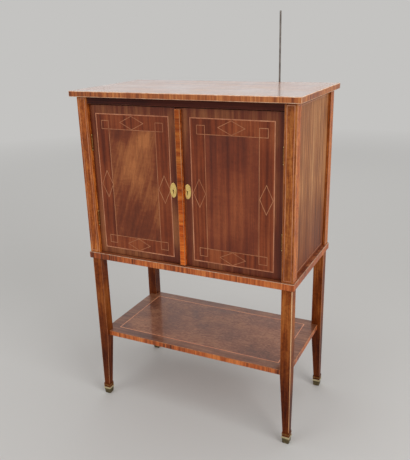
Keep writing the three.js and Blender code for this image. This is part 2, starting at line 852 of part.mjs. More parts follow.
function stayGuideGeometry(stayX) {
  const top = lidUnderside - stayFootThickness - 3 * seat - 1;
  const bottom = top - stayGuideHeight;
  const reach = (z, radius) => lidHingeY - Math.sqrt(radius ** 2 - (lidHingeZ - z) ** 2);
  const slotFront = reach(top, stayRadius + stayBarWidth / 2) - 2 * running;
  const slotBack = reach(bottom, stayRadius - stayBarWidth / 2) + 2 * running;
  const slotLeft = stayX - running;
  const slotRight = stayX + stayBarThickness + running;
  const body = block(
    slotLeft - stayGuideWall,
    panelInner,
    slotFront - stayGuideWall,
    slotBack + stayGuideWall,
    bottom,
    top,
  );
  const slot = block(slotLeft, slotRight, slotFront, slotBack, bottom - 1, top + 1);
  return cut(body, [slot]);
}

// ---- deck: board, turntable, tone arm, brake, speed knob and the loose crank
function addDeck() {
  place("motor_board", deckGeometry(), mahogany);
  const rimBottom = turntableTop - turntableRimDepth;
  const bore = spindleRadius + running;
  const rimInner = turntableRadius - turntableSheet;
  const edge = turntableSheet / 2;
  const platter = [
    [bore, rimBottom + 1],
    [turntableHubRadius - 2, rimBottom + 1],
    [turntableHubRadius, turntableTop - turntableSheet],
    [rimInner - 2, turntableTop - turntableSheet],
    [rimInner, rimBottom],
    [turntableRadius, rimBottom],
    [turntableRadius, turntableTop - edge],
    [turntableRadius - edge, turntableTop],
    [bore, turntableTop],
    [bore, rimBottom + 1],
  ];
  place("turntable", turned(platter, 48), nickel, vec3(spindleX, spindleY, 0));
  place("turntable_spindle", spindleGeometry(), steel, vec3(spindleX, spindleY, 0));
  addToneArm();

  addBrake();

  const knob = [
    [0, 0],
    [speedKnobRadius - 2, 0],
    [speedKnobRadius, 3],
    [speedKnobRadius - 1, speedKnobHeight - 1.5],
    [0, speedKnobHeight],
  ];
  const pointer = block(0, speedKnobRadius + speedPointerReach, -1, 1, 1, 3);
  const knobAt = vec3(speedKnobX, speedKnobY, deckTop + seat);
  place("speed_knob", joined([turned(knob, 24), pointer]), nickel, knobAt);

  const half = crankArmThickness / 2;
  const armHalf = crankArmWidth / 2;
  const shaft = bar(crankShaftRadius, vec3(0, 0, 0), vec3(crankShaftLength, 0, 0), 16);
  const arm = block(-half, half, -armHalf - 1, crankArm + armHalf + 1, -armHalf, armHalf);
  const gripEnd = vec3(-half - crankGripLength, crankArm, 0);
  const grip = bar(crankGripRadius, gripEnd, vec3(0, crankArm, 0), 20, crankGripNeck);
  const crankAt = vec3(crankX, crankY, deckTop + seat + crankGripRadius);
  place("winding_crank", joined([shaft, arm, grip]), nickel, crankAt);
}

// The pad stands just clear of the turntable's rim, and the lever's handle points to the front.
function addBrake() {
  const leverBottom = brakeLeverHeight;
  const leverTop = leverBottom + brakeLeverThickness;
  const post = upright(brakePostRadius, 0, 0, 0, leverTop, 16);
  const halfWidth = brakeLeverWidth / 2;
  const lever = block(0, brakeLength, -halfWidth, halfWidth, leverBottom, leverTop);
  lever.rotateZ(-Math.PI / 5);
  const toRim = Math.hypot(brakeX - spindleX, brakeY - spindleY) - turntableRadius;
  const padHalf = brakePadWidth / 2;
  const padTop = leverTop + 2;
  const pad = block(-1, toRim - brakeGap, -padHalf, padHalf, padTop - brakePadDepth, padTop);
  pad.rotateZ(Math.atan2(spindleY - brakeY, spindleX - brakeX));
  place("brake_lever", joined([post, lever, pad]), nickel, vec3(brakeX, brakeY, deckTop + seat));
}

function deckGeometry() {
  const sideX = panelInner + deckHousing;
  const innerX = postInnerX - seat;
  const cornerY = postInnerY - seat;
  const frontY = fasciaBack + seat;
  const backY = backInner - seat;
  const outline = [
    [-sideX, -cornerY],
    [-postInnerX - seat, -cornerY],
    [-postInnerX - seat, frontY],
    [postInnerX + seat, frontY],
    [postInnerX + seat, -cornerY],
    [sideX, -cornerY],
    [sideX, cornerY],
    [innerX, cornerY],
    [innerX, backY],
    [-innerX, backY],
    [-innerX, cornerY],
    [-sideX, cornerY],
  ];
  const board = plate(outline, deckBottom, deckTop);
  const spindleHole = upright(spindleRadius + 3, spindleX, spindleY, deckBottom - 1, deckTop + 1);
  const throatHole = upright(throatRadius + 2 * seat, tonearmX, tonearmY, deckBottom - 1, deckTop + 1, 28);
  return cut(board, [spindleHole, throatHole]);
}

function spindleGeometry() {
  const shaft = turned(
    [
      [0, motorFloor + seat],
      [spindleRadius, motorFloor + seat],
      [spindleRadius, turntableTop],
      [recordPinRadius, turntableTop + 0.5],
      [recordPinRadius, turntableTop + recordPinHeight - 1.5],
      [recordPinRadius - 1.5, turntableTop + recordPinHeight],
      [0, turntableTop + recordPinHeight],
    ],
    20,
  );
  const pinionBottom = gearBottom - (pinionWidth - gearWidth) / 2;
  const pinion = gear(pinionTeeth, Math.PI, pinionWidth, pinionBottom);
  const wheelHalf = wormWheelWidth / 2;
  const wheel = upright(wormWheelRadius, 0, 0, governorZ - wheelHalf, governorZ + wheelHalf, 32);
  return joined([shaft, pinion, wheel]);
}

function addToneArm() {
  const axis = vec3(tonearmX, tonearmY, 0);
  const neckTop = deckTop + tonearmNeckHeight;
  const flangeTop = deckTop + tonearmFlangeThickness;
  const base = turned(
    [
      [throatRadius - throatWall, deckBottom],
      [throatRadius, deckBottom],
      [throatRadius, deckTop],
      [tonearmFlange, deckTop],
      [tonearmFlange, flangeTop],
      [throatRadius + 1, flangeTop + 4],
      [throatRadius, neckTop],
      [throatRadius - throatWall, neckTop],
      [throatRadius - throatWall, deckBottom],
    ],
    32,
  );
  place("tonearm_base", base, nickel, axis);

  const armZ = deckTop + tonearmHeight;
  const bend = tonearmBend;
  const route = new THREE.CurvePath();
  const foot = vec3(0, 0, neckTop + running);
  const elbow = vec3(0, 0, armZ);
  route.add(new THREE.LineCurve3(foot, vec3(0, 0, armZ - bend)));
  route.add(new THREE.QuadraticBezierCurve3(vec3(0, 0, armZ - bend), elbow, vec3(0, -bend, armZ)));
  route.add(new THREE.LineCurve3(vec3(0, -bend, armZ), vec3(0, -tonearmReach, armZ)));
  const section = new THREE.Shape().absarc(0, 0, tonearmRadius, 0, Math.PI * 2, false);
  const inside = new THREE.Path().absarc(0, 0, tonearmRadius - tonearmWall, 0, Math.PI * 2, true);
  section.holes.push(inside);
  const options = { extrudePath: route, steps: 18, curveSegments: 9, bevelEnabled: false };
  const tube = new THREE.ExtrudeGeometry(section, options);
  const skirt = turned(
    [
      [tonearmRadius - tonearmWall, neckTop + running],
      [throatRadius + 2, neckTop + running],
      [throatRadius + 2, neckTop + 5],
      [tonearmRadius - 0.2, neckTop + 9],
      [tonearmRadius - tonearmWall, neckTop + 9],
      [tonearmRadius - tonearmWall, neckTop + running],
    ],
    32,
  );
  place("tonearm", joined([tube, skirt]), nickel, axis);

  // The sound box hangs from the arm's end on a bent neck and lifts about the tube's top edge.
  const endY = -tonearmReach - running;
  const tipZ = turntableTop + needleClearance;
  const boxZ = tipZ + needleLength + chuckLength + soundboxRadius - chuckInDisc;
  const discY = -needleReach + needleSetback;
  const neckRoute = new THREE.CatmullRomCurve3([
    vec3(0, endY, armZ),
    vec3(0, endY - neckStub, armZ),
    vec3(soundboxThickness + neckStub, endY - neckTurnStart, armZ),
    vec3(soundboxThickness + neckSideways, endY - neckTurnEnd, boxZ),
    vec3(soundboxThickness, discY, boxZ),
    vec3(soundboxThickness / 2 - 2, discY, boxZ),
  ]);
  const collarRadius = tonearmRadius - seat;
  const collar = bar(collarRadius, vec3(0, endY - neckCollar, armZ), vec3(0, endY, armZ), 24);
  const round = new THREE.Shape().absarc(0, 0, neckRadius, 0, Math.PI * 2, false);
  const neckOptions = { extrudePath: neckRoute, steps: 16, curveSegments: 6, bevelEnabled: false };
  const neck = new THREE.ExtrudeGeometry(round, neckOptions);
  const half = soundboxThickness / 2;
  const disc = bar(soundboxRadius, vec3(-half, discY, boxZ), vec3(half, discY, boxZ), 32);
  const chuckTop = vec3(0, discY, boxZ - soundboxRadius + chuckInDisc);
  const chuckEnd = vec3(0, discY - chuckSetback, tipZ + needleLength);
  const chuck = bar(chuckRadius, chuckTop, chuckEnd, 12);
  const needleTop = chuckEnd.clone().setZ(chuckEnd.z + needleInChuck);
  const needleTip = vec3(0, -needleReach, tipZ);
  const needle = bar(needleRadius, needleTop, needleTip, 8, needleRadius / 2);
  place("soundbox", joined([collar, neck, disc, chuck, needle]), nickel, axis);
}

// ---- motor: frame, spring barrel, governor and the winding shaft
function windingPoint(x) {
  return vec3(x, windingY, windingZ);
}

function motorFrameGeometry() {
  const left = barrelX - barrelTeeth * gearModule / 2 - motorLeftMargin;
  const right = spindleX + wormWheelRadius + motorRightMargin;
  const halfY = governorLength / 2 + pillarInset;
  const front = spindleY - halfY;
  const back = spindleY + halfY;
  const topPlate = block(left, right, front, back, motorTop - motorPlate, motorTop);
  const bottomPlate = block(left, right, front, back, motorBottom, motorFloor);
  const pillars = [
    [left + pillarInset, spindleY - pillarInset],
    [left + pillarInset, spindleY + 3 * pillarInset],
    [right - pillarInset, front + pillarInset],
    [right - pillarInset, back - pillarInset],
  ].map(([x, y]) => upright(motorPillar, x, y, motorFloor - 1, motorTop - motorPlate + 1, 14));
  const bearingTop = governorZ + bearingHalf + 1;
  const bearings = [-1, 1].map((end) => {
    const y = spindleY + (end * governorLength) / 2;
    const half = bearingThickness / 2;
    return block(
      governorX - bearingHalf,
      governorX + bearingHalf,
      y - half,
      y + half,
      motorFloor - 1,
      bearingTop,
    );
  });
  const shaftBearings = [left + bearingThickness / 2, barrelX + barrelRadius - bearingThickness].map((x) => {
    const half = bearingThickness / 2;
    const reach = bearingHalf + 1;
    return block(x - half, x + half, windingY - reach, windingY + reach, motorFloor - 1, windingZ + reach);
  });
  const throughTop = [motorTop - motorPlate - 1, motorTop + 1];
  const throughBottom = [motorBottom - 1, motorFloor + 1];
  const governorBore = governorRod + running;
  const holes = [
    upright(spindleRadius + running, spindleX, spindleY, ...throughTop),
    upright(arborRadius + running, barrelX, spindleY, ...throughTop),
    upright(arborRadius + running, barrelX, spindleY, ...throughBottom),
    bar(governorBore, vec3(governorX, front, governorZ), vec3(governorX, back, governorZ), 14),
    bar(windingShaftRadius + running, windingPoint(left - 2), windingPoint(right), 16),
  ];
  return cut(joined([topPlate, bottomPlate, ...pillars, ...bearings, ...shaftBearings]), holes);
}

function barrelGeometry() {
  const drumTop = gearBottom - drumBelowGear;
  const drum = upright(barrelRadius, 0, 0, motorFloor + drumAboveFloor, drumTop, 40);
  const neck = upright(barrelRadius - drumBelowGear, 0, 0, drumTop - 1, gearBottom + 1, 32);
  const arbor = upright(arborRadius, 0, 0, motorBottom + running, motorTop - running, 16);
  const wheel = gear(barrelTeeth, Math.PI / barrelTeeth, gearWidth, gearBottom);
  return joined([drum, neck, arbor, wheel]);
}

// The governor lies along Y: a worm driven by the spindle's wheel, three balls and a friction disc.
function governorGeometry() {
  const rodHalf = governorLength / 2 + bearingThickness / 2;
  const rod = bar(governorRod, vec3(0, -rodHalf, 0), vec3(0, rodHalf, 0), 12);
  const worm = bar(wormRadius, vec3(0, -wormLength / 2, 0), vec3(0, wormLength / 2, 0), 16);
  const disc = bar(governorDisc, vec3(0, governorDiscPlace - 1, 0), vec3(0, governorDiscPlace + 1, 0), 24);
  const front = governorBallPlace - governorSpan / 2;
  const back = governorBallPlace + governorSpan / 2;
  const hubs = [front, back].map((y) => bar(governorHub, vec3(0, y - 2, 0), vec3(0, y + 2, 0), 14));
  const weights = [0, 1, 2].flatMap((index) => {
    const angle = (index * 2 * Math.PI) / 3 + Math.PI / 6;
    const at = (radius, y) => vec3(radius * Math.cos(angle), y, radius * Math.sin(angle));
    const middle = at(governorBallOffset, governorBallPlace);
    const ball = new THREE.SphereGeometry(governorBall, 12, 8).translate(middle.x, middle.y, middle.z);
    const springs = [front, back].map((y) => bar(governorSpring, at(governorHub - 1, y), middle, 6));
    return [ball, ...springs];
  });
  return joined([rod, worm, disc, ...hubs, ...weights]);
}

function addMotor() {
  place("motor_frame", motorFrameGeometry(), castIron);
  place("spring_barrel", barrelGeometry(), steel, vec3(barrelX, spindleY, 0));
  place("governor", governorGeometry(), brass, vec3(governorX, spindleY, governorZ));

  const outerEnd = -panelOuter + 1;
  const innerEnd = barrelX + barrelRadius;
  const shaft = bar(windingShaftRadius, windingPoint(outerEnd), windingPoint(innerEnd), 16);
  const wormHalf = windingWormLength / 2;
  const worm = bar(windingWormRadius, windingPoint(barrelX - wormHalf), windingPoint(barrelX + wormHalf));
  const half = windingSquare / 2;
  const socket = block(outerEnd - 1, outerEnd + windingSquareDepth, -half, half, -half, half);
  socket.translate(0, windingY, windingZ);
  place("winding_shaft", cut(joined([shaft, worm]), [socket]), steel);

  const faceX = -panelOuter - bushFlange;
  const flange = bar(bushFlangeRadius, windingPoint(faceX), windingPoint(-panelOuter), 28);
  const sleeve = bar(bushSleeveRadius, windingPoint(-panelOuter - 1), windingPoint(-panelInner - 1), 24);
  const bore = bar(bushBoreRadius, windingPoint(faceX - 1), windingPoint(-panelInner));
  place("winding_bush", cut(joined([flange, sleeve]), [bore]), brass);
}

// ---- horn, its throat and the board around its mouth
function hornRings(extra) {
  const mouthY = fasciaBack + seat;
  const start = vec3(tonearmX, tonearmY, hornThroatTop);
  const end = vec3(0, mouthY, hornMouthMiddle);
  const path = new THREE.CubicBezierCurve3(
    start,
    vec3(tonearmX, tonearmY, hornMouthMiddle),
    vec3(0, tonearmY / 2, hornMouthMiddle),
    end,
  );
  const rings = [];
  for (let step = 0; step <= hornSteps; step += 1) {
    const t = step / hornSteps;
    const middle = path.getPoint(t);
    const tilt = (t * Math.PI) / 2;
    const up = vec3(0, -Math.cos(tilt), Math.sin(tilt));
    const halfX = (hornThroatSide / 2) * Math.pow(hornMouthWidth / hornThroatSide, t) + extra;
    const halfUp = (hornThroatSide / 2) * Math.pow(hornMouthHeight / hornThroatSide, t) + extra;
    const corner = (sx, su) => middle.clone().add(vec3(sx * halfX, 0, 0)).addScaledVector(up, su * halfUp);
    rings.push([corner(-1, -1), corner(1, -1), corner(1, 1), corner(-1, 1)]);
  }
  return rings;
}

function addHorn() {
  const outside = solid(loft(hornRings(hornWall)));
  const innerRings = hornRings(0);
  const first = innerRings[0].map((point) => point.clone().add(vec3(0, 0, 1)));
  const final = innerRings[hornSteps].map((point) => point.clone().add(vec3(0, -1, 0)));
  const inside = solid(loft([first, ...innerRings, final]));
  place("horn", geometryOf(outside.subtract(inside)), deal);

  const flangeHalf = hornThroatSide / 2 + hornWall;
  const flangeBottom = hornThroatTop + seat;
  const flangeTop = flangeBottom + throatFlange;
  const flange = block(-flangeHalf, flangeHalf, -flangeHalf, flangeHalf, flangeBottom, flangeTop);
  const tube = upright(throatRadius, 0, 0, flangeBottom, deckBottom - seat, 28);
  const bore = upright(throatRadius - throatWall, 0, 0, flangeBottom - 1, deckBottom + 1, 28);
  place("horn_throat", cut(joined([flange, tube]), [bore]), castIron, vec3(tonearmX, tonearmY, 0));

  const half = hornMouthWidth / 2;
  const boardX = postInnerX - seat;
  const board = block(-boardX, boardX, fasciaFront, fasciaBack, plateTop, caseTop);
  const mouth = block(
    -half,
    half,
    fasciaFront - 1,
    fasciaBack + 1,
    hornMouthMiddle - hornMouthHeight / 2,
    hornMouthMiddle + hornMouthHeight / 2,
  );
  place("horn_fascia", cut(board, [mouth]), mahogany);
}

// ---- rod behind the case and its bracket
function addRod() {
  const bottom = rodTip - rodLength;
  const rod = turned(
    [
      [0, bottom],
      [rodCollarRadius, bottom],
      [rodCollarRadius, bottom + rodCollarHeight],
      [rodRadius, bottom + rodCollarHeight],
      [rodRadius, rodTip - 2],
      [rodRadius - 1.5, rodTip],
      [0, rodTip],
    ],
    20,
  );
  place("rod", rod, steel, vec3(rodX, rodY, 0));

  const lowerClip = bottom + rodCollarHeight + running;
  const upperClip = bracketTop - clipHeight;
  const stripBottom = lowerClip - bracketTail;
  const strip = block(-bracketWidth / 2, bracketWidth / 2, 0, bracketPlate, stripBottom, bracketTop);
  const armHalf = clipArmWidth / 2;
  const arms = [lowerClip, upperClip].flatMap((z) => [
    block(-armHalf, armHalf, bracketPlate - 1, rodBehindCase, z, z + clipHeight),
    upright(clipRadius, 0, rodBehindCase, z, z + clipHeight, 24),
  ]);
  const bore = upright(rodRadius + running, 0, rodBehindCase, lowerClip - 1, bracketTop + 1, 20);
  place("rod_bracket", cut(joined([strip, ...arms]), [bore]), steel, vec3(rodX, halfDepth, 0));
}

addStand();
addCase();
addDoors();
addLid();
addDeck();
addMotor();
addHorn();
addRod();

export default cabinet;
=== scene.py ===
"""Finishes and fine geometry of an inlaid mahogany gramophone cabinet, built round its frame.

Lengths are metres in the frame's axes: +X right, +Y back, +Z up, with the floor at Z 0.
Colours are display values from 0 to 255.
"""

import logging
import math
from dataclasses import dataclass, field, replace
from enum import Enum
from functools import lru_cache
from typing import Callable, Iterable, Sequence, Union

import bmesh
import bpy
from mathutils import Matrix, Vector


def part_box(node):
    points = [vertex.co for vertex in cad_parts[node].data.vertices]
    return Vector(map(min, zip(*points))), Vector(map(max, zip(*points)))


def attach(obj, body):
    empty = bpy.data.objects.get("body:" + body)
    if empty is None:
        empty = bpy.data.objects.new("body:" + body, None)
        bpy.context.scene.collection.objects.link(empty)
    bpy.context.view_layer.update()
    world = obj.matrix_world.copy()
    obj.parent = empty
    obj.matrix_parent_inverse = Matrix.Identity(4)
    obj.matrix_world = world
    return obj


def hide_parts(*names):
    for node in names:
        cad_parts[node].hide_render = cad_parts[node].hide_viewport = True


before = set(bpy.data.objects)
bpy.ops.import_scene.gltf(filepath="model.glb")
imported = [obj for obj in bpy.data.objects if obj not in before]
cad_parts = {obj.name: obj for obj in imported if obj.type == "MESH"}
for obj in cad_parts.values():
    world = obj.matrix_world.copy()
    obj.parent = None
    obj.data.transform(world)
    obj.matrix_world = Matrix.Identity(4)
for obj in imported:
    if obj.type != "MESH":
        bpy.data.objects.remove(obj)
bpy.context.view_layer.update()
LOG = logging.getLogger("cabinet")

Colour = tuple[int, int, int]
Triple = tuple[float, float, float]
Socket = bpy.types.NodeSocket
Face = bmesh.types.BMFace
Edge = bmesh.types.BMEdge
Vert = bmesh.types.BMVert
MM = 0.001
WHITE: Colour = (255, 255, 255)
WELD = 0.00001

# The least share of a normal along an axis for a face that looks squarely that way
FLAT = 0.99
# How far inlay is raised from its underside
INLAY = 0.5 * MM
# A screw head's height, flat top, half slot and slot depth, as shares of its radius or height
HEAD_HEIGHT, HEAD_TOP, HALF_SLOT, SLOT_DEPTH = 0.45, 0.75, 0.14, 0.5
# Where a wood's dark, middle and light tones lie, and the noise in which its pores open
TONE_STOPS = (0.28, 0.5, 0.72)
PORE_RANGE = (0.6, 0.7)


def linear(colour: Colour) -> tuple[float, float, float, float]:
    """Turns a display colour into linear light.

    Args:
        colour: Red, green and blue from 0 to 255.

    Returns:
        The colour in linear light, with full cover.
    """
    shares = [value / 255 for value in colour]
    red, green, blue = (s / 12.92 if s <= 0.04045 else ((s + 0.055) / 1.055) ** 2.4 for s in shares)
    return red, green, blue, 1.0


def shade(colour: Colour, factor: float) -> Colour:
    """Returns a colour made darker or lighter by a factor."""
    red, green, blue = (min(255, round(value * factor)) for value in colour)
    return red, green, blue


# ---------------------------------------------------------------- finishes
class Grain(Enum):
    """The axis that the wood's grain runs along."""

    X = 0
    Y = 1
    Z = 2

    def spacing(self, across: float, along: float) -> Triple:
        """Returns a pattern's size on each axis from its size across and along the grain."""
        sizes = [across] * 3
        sizes[self.value] = along
        return sizes[0], sizes[1], sizes[2]


@dataclass(frozen=True)
class Pattern:
    """A noise pattern: its size in metres across and along the grain, and its character."""

    across: float
    along: float
    detail: float
    bend: float = 0.0
    shift: float = 0.0


RIPPLE = Pattern(0.03, 0.016, 2.0, 1.5, 3.0)
PATCH = Pattern(0.12, 0.17, 2.0, 0.4, 7.0)
STREAK = Pattern(0.0022, 0.09, 3.0, 0.1, 11.0)
PORE = Pattern(0.0009, 0.011, 1.0, 0.0, 17.0)
FILM = Pattern(0.012, 0.012, 4.0, 0.5)
SPOTS = Pattern(0.002, 0.002, 2.0, 0.0, 5.0)
SCRATCH = Pattern(0.0005, 0.012, 2.0, 0.2, 9.0)
LUMPS = Pattern(0.004, 0.004, 4.0, 0.2)
CASTING = Pattern(0.0012, 0.0012, 2.0, 0.0, 4.0)
CLOUD = Pattern(0.05, 0.05, 3.0, 0.6, 8.0)
NAP = Pattern(0.0007, 0.0007, 3.0, 1.2)
WEAR = Pattern(0.03, 0.03, 3.0, 0.5, 6.0)


class Sheet:
    """One material's node tree, with a short call for each kind of node that the finishes use."""

    def __init__(self, name: str) -> None:
        """Starts a material that has only its shader.

        Args:
            name: The material's name.
        """
        self.material = bpy.data.materials.new(name)
        self.material.use_nodes = True
        self.tree = self.material.node_tree
        self.shader = self.tree.nodes["Principled BSDF"]
        self.place = self.node("TexCoord").outputs["Object"]

    def link(self, source: Socket, target: Socket) -> None:
        """Joins one socket to another."""
        self.tree.links.new(source, target)

    def node(self, kind: str) -> bpy.types.Node:
        """Adds a node of a kind, which is Blender's name without ShaderNode."""
        return self.tree.nodes.new(f"ShaderNode{kind}")

    def feed(self, node: bpy.types.Node, socket: Union[int, str], value: object) -> None:
        """Gives a node's socket a link or a constant.

        Args:
            node: The node that takes the value.
            socket: The socket's place or name.
            value: Another node's output, or a constant.
        """
        if isinstance(value, Socket):
            self.link(value, node.inputs[socket])
        else:
            node.inputs[socket].default_value = value

    def laid(self, centre: Triple, size: Triple, tilt: float = 0.0) -> Socket:
        """Returns Object coordinates measured from a centre, in steps of a size, as a socket.

        Args:
            centre: Where they are 0, in metres.
            size: The step along X, Y and Z, in metres.
            tilt: The turn about Y, in radians.

        Returns:
            The coordinates as a socket.
        """
        mapping = self.node("Mapping")
        mapping.vector_type = "TEXTURE"
        self.feed(mapping, "Vector", self.place)
        self.feed(mapping, "Location", centre)
        self.feed(mapping, "Rotation", (0.0, tilt, 0.0))
        self.feed(mapping, "Scale", size)
        return mapping.outputs[0]

    def noise(
        self, pattern: Pattern, grain: Grain = Grain.Z, shift: float = 0.0, tilt: float = 0.0
    ) -> Socket:
        """Adds a noise pattern that is stretched along a grain.

        Args:
            pattern: The pattern's sizes and character.
            grain: The axis that it runs along.
            shift: Moves the pattern, so that pieces differ.
            tilt: The pattern's turn about Y, in radians.

        Returns:
            The noise, from 0 to 1, as a socket.
        """
        spacing = grain.spacing(pattern.across, pattern.along)
        moved = shift + pattern.shift
        centre = tuple(size * moved * share for size, share in zip(spacing, (1.0, 0.7, 1.3)))
        texture = self.node("TexNoise")
        self.feed(texture, "Vector", self.laid(centre, spacing, tilt))
        self.feed(texture, "Scale", 1.0)
        self.feed(texture, "Detail", pattern.detail)
        self.feed(texture, "Distortion", pattern.bend)
        return texture.outputs[0]

    def glow(self, centre: Triple, size: Triple) -> Socket:
        """Returns a soft patch, 1 at its centre and 0 past its size, as a socket."""
        gradient = self.node("TexGradient")
        gradient.gradient_type = "SPHERICAL"
        self.link(self.laid(centre, size), gradient.inputs[0])
        return gradient.outputs[1]

    def ramp(self, value: Socket, stops: Sequence[tuple[float, Colour]]) -> Socket:
        """Turns a value into a colour between stops.

        Args:
            value: The value that picks the colour.
            stops: Places from 0 to 1, each with its colour.

        Returns:
            The colour as a socket.
        """
        node = self.node("ValToRGB")
        elements = node.color_ramp.elements
        while len(elements) < len(stops):
            elements.new(0.5)
        for element, (at, colour) in zip(elements, stops):
            element.position = at
            element.color = linear(colour)
        self.feed(node, "Fac", value)
        return node.outputs["Color"]

    def spread(
        self, value: Socket, low: float, high: float, start: float = 0.3, end: float = 0.7
    ) -> Socket:
        """Maps a value between two limits onto another range.

        Args:
            value: The value to map.
            low: What it gives at the start.
            high: What it gives at the end.
            start: The value's own lower limit.
            end: The value's own upper limit.

        Returns:
            The mapped value as a socket.
        """
        node = self.node("MapRange")
        for name, amount in (("From Min", start), ("From Max", end), ("To Min", low), ("To Max", high)):
            self.feed(node, name, amount)
        self.feed(node, "Value", value)
        return node.outputs[0]

    def sum(self, operation: str, first: object, second: object) -> Socket:
        """Returns the result of a Math node on two values, as a socket."""
        node = self.node("Math")
        node.operation = operation
        self.feed(node, 0, first)
        self.feed(node, 1, second)
        return node.outputs[0]

    def mix(self, share: object, first: object, second: object, mode: str = "MIX") -> Socket:
        """Blends two colours.

        Args:
            share: How much of the second colour shows, from 0 to 1.
            first: The colour beneath, as a socket or a constant.
            second: The colour on top, as a socket or a constant.
            mode: Blender's name for the way they blend.

        Returns:
            The blend as a socket.
        """
        node = self.node("Mix")
        node.data_type = "RGBA"
        node.blend_type = mode
        self.feed(node, 0, share)
        self.feed(node, 6, first)
        self.feed(node, 7, second)
        return node.outputs[2]

    def bump(self, height: Socket, distance: float, strength: float) -> None:
        """Raises the surface by a height pattern.

        Args:
            height: The pattern, from 0 to 1.
            distance: How far 1 stands over 0, in metres.
            strength: How strongly it shows.
        """
        node = self.node("Bump")
        self.feed(node, "Strength", strength)
        self.feed(node, "Distance", distance)
        self.feed(node, "Height", height)
        self.link(node.outputs[0], self.shader.inputs["Normal"])

    def surface(self, colour: Socket, roughness: Socket) -> None:
        """Links the shader's colour and roughness."""
        self.link(colour, self.shader.inputs["Base Color"])
        self.link(roughness, self.shader.inputs["Roughness"])

    def constants(self, **values: object) -> None:
        """Sets the shader's own sockets, named with _ for each space."""
        for name, value in values.items():
            self.shader.inputs[name.replace("_", " ")].default_value = value


@dataclass(frozen=True)
class Wood:
    """Polished wood: broad figure, fine streaks, pores, a cross ripple and worn patches."""

    name: str
    dark: Colour
    middle: Colour
    light: Colour
    grain: Grain = Grain.Z
    figure: float = 0.024
    figure_length: float = 0.5
    wave: float = 0.3
    contrast: float = 1.0
    ripple: float = 0.2
    streaks: float = 0.22
    pores: float = 0.35
    patches: float = 0.3
    roughness: float = 0.42
    coat: float = 0.12
    coat_roughness: float = 0.15
    shine: float = 0.3
    # Tint multiplied in by height: the full colour at the first height of the pair, none past the second. On the
    # side panel it is painted shade, darker towards the bottom.
    height_tint: Colour = WHITE
    height_tint_z: tuple[float, float] = (0.1, 0.5)
    tilt: float = 0.0
    # Soft patches added to the tone, each a centre, a size and an amount: painted highlights and painted
    # reflections, and painted shade where the amount is negative.
    painted_light_patches: tuple[tuple[Triple, Triple, float], ...] = ()
    shift: float = 0.0

    def material(self) -> bpy.types.Material:
        """Builds the finish's material.

        Returns:
            The new material.
        """
        sheet, grain, shift = Sheet(self.name), self.grain, self.shift
        broad = Pattern(self.figure, self.figure_length, 3.0, self.wave)
        ribbon = sheet.noise(broad, grain, shift, self.tilt)
        ripple = sheet.noise(replace(RIPPLE, across=self.figure * 3), grain, shift)
        patch = sheet.noise(PATCH, Grain.Z, shift)
        streak = sheet.noise(STREAK, grain, shift)
        pore = sheet.noise(PORE, grain, shift)
        swing = sheet.sum("MULTIPLY", sheet.spread(ripple, -1, 1), self.ripple * 0.25)
        part = self.contrast / 2
        figure = sheet.sum("ADD", sheet.spread(ribbon, 0.5 - part, 0.5 + part, 0.0, 1.0), swing)
        tone = sheet.sum("ADD", figure, sheet.spread(patch, -self.patches * 0.4, self.patches * 0.4))
        # Painted highlights, reflections and shade, laid on as soft patches.
        for centre, size, amount in self.painted_light_patches:
            tone = sheet.sum("ADD", tone, sheet.sum("MULTIPLY", sheet.glow(centre, size), amount))
        colour = sheet.ramp(tone, tuple(zip(TONE_STOPS, (self.dark, self.middle, self.light))))
        # Tint by height, which is painted shade on the side panel.
        if self.height_tint != WHITE:
            axes = sheet.node("SeparateXYZ")
            sheet.link(sheet.place, axes.inputs[0])
            share = sheet.spread(axes.outputs["Z"], 0.0, 1.0, *self.height_tint_z)
            tint = sheet.mix(share, linear(self.height_tint), linear(WHITE))
            colour = sheet.mix(1.0, colour, tint, "MULTIPLY")
        grey = sheet.spread(streak, 1 - self.streaks, 1 + self.streaks * 0.5)
        colour = sheet.mix(1.0, colour, grey, "MULTIPLY")
        holes = sheet.spread(pore, 0.0, 1.0, *PORE_RANGE)
        colour = sheet.mix(sheet.sum("MULTIPLY", holes, self.pores), colour, linear(shade(self.dark, 0.55)))
        sheet.surface(colour, sheet.spread(patch, self.roughness - 0.05, self.roughness + 0.07))
        height = sheet.sum("SUBTRACT", sheet.spread(streak, 0.0, 0.4), holes)
        sheet.bump(height, 0.08 * MM, 0.5)
        sheet.constants(
            Coat_Weight=self.coat, Coat_Roughness=self.coat_roughness, Coat_IOR=1.5,
            Specular_IOR_Level=self.shine,
        )
        return sheet.material


@dataclass(frozen=True)
class Metal:
    """Bare or plated metal with a film of tarnish, fine scratches and dull spots."""

    name: str
    bright: Colour
    tarnish: Colour
    cover: float = 0.4
    patch: float = 0.012
    roughness: float = 0.28
    scratches: float = 0.3
    brushed: Grain = Grain.X

    def material(self) -> bpy.types.Material:
        """Builds the finish's material.

        Returns:
            The new material.
        """
        sheet = Sheet(self.name)
        film = sheet.noise(replace(FILM, across=self.patch, along=self.patch))
        spots = sheet.noise(replace(SPOTS, across=self.patch / 6, along=self.patch / 6))
        scratch = sheet.noise(SCRATCH, self.brushed)
        middle = 1 - self.cover
        amount = sheet.spread(film, 0.0, 1.0, middle - 0.18, middle + 0.18)
        colour = sheet.mix(amount, linear(self.bright), linear(self.tarnish))
        dots = sheet.spread(spots, 0.0, 0.6, 0.62, 0.75)
        colour = sheet.mix(dots, colour, linear(shade(self.tarnish, 0.6)))
        rough = sheet.spread(amount, self.roughness, self.roughness + 0.18, 0, 1)
        sheet.surface(colour, sheet.sum("ADD", rough, sheet.spread(scratch, 0.0, self.scratches * 0.3)))
        sheet.bump(sheet.sum("SUBTRACT", scratch, dots), 0.03 * MM, self.scratches)
        sheet.constants(Metallic=1.0)
        return sheet.material


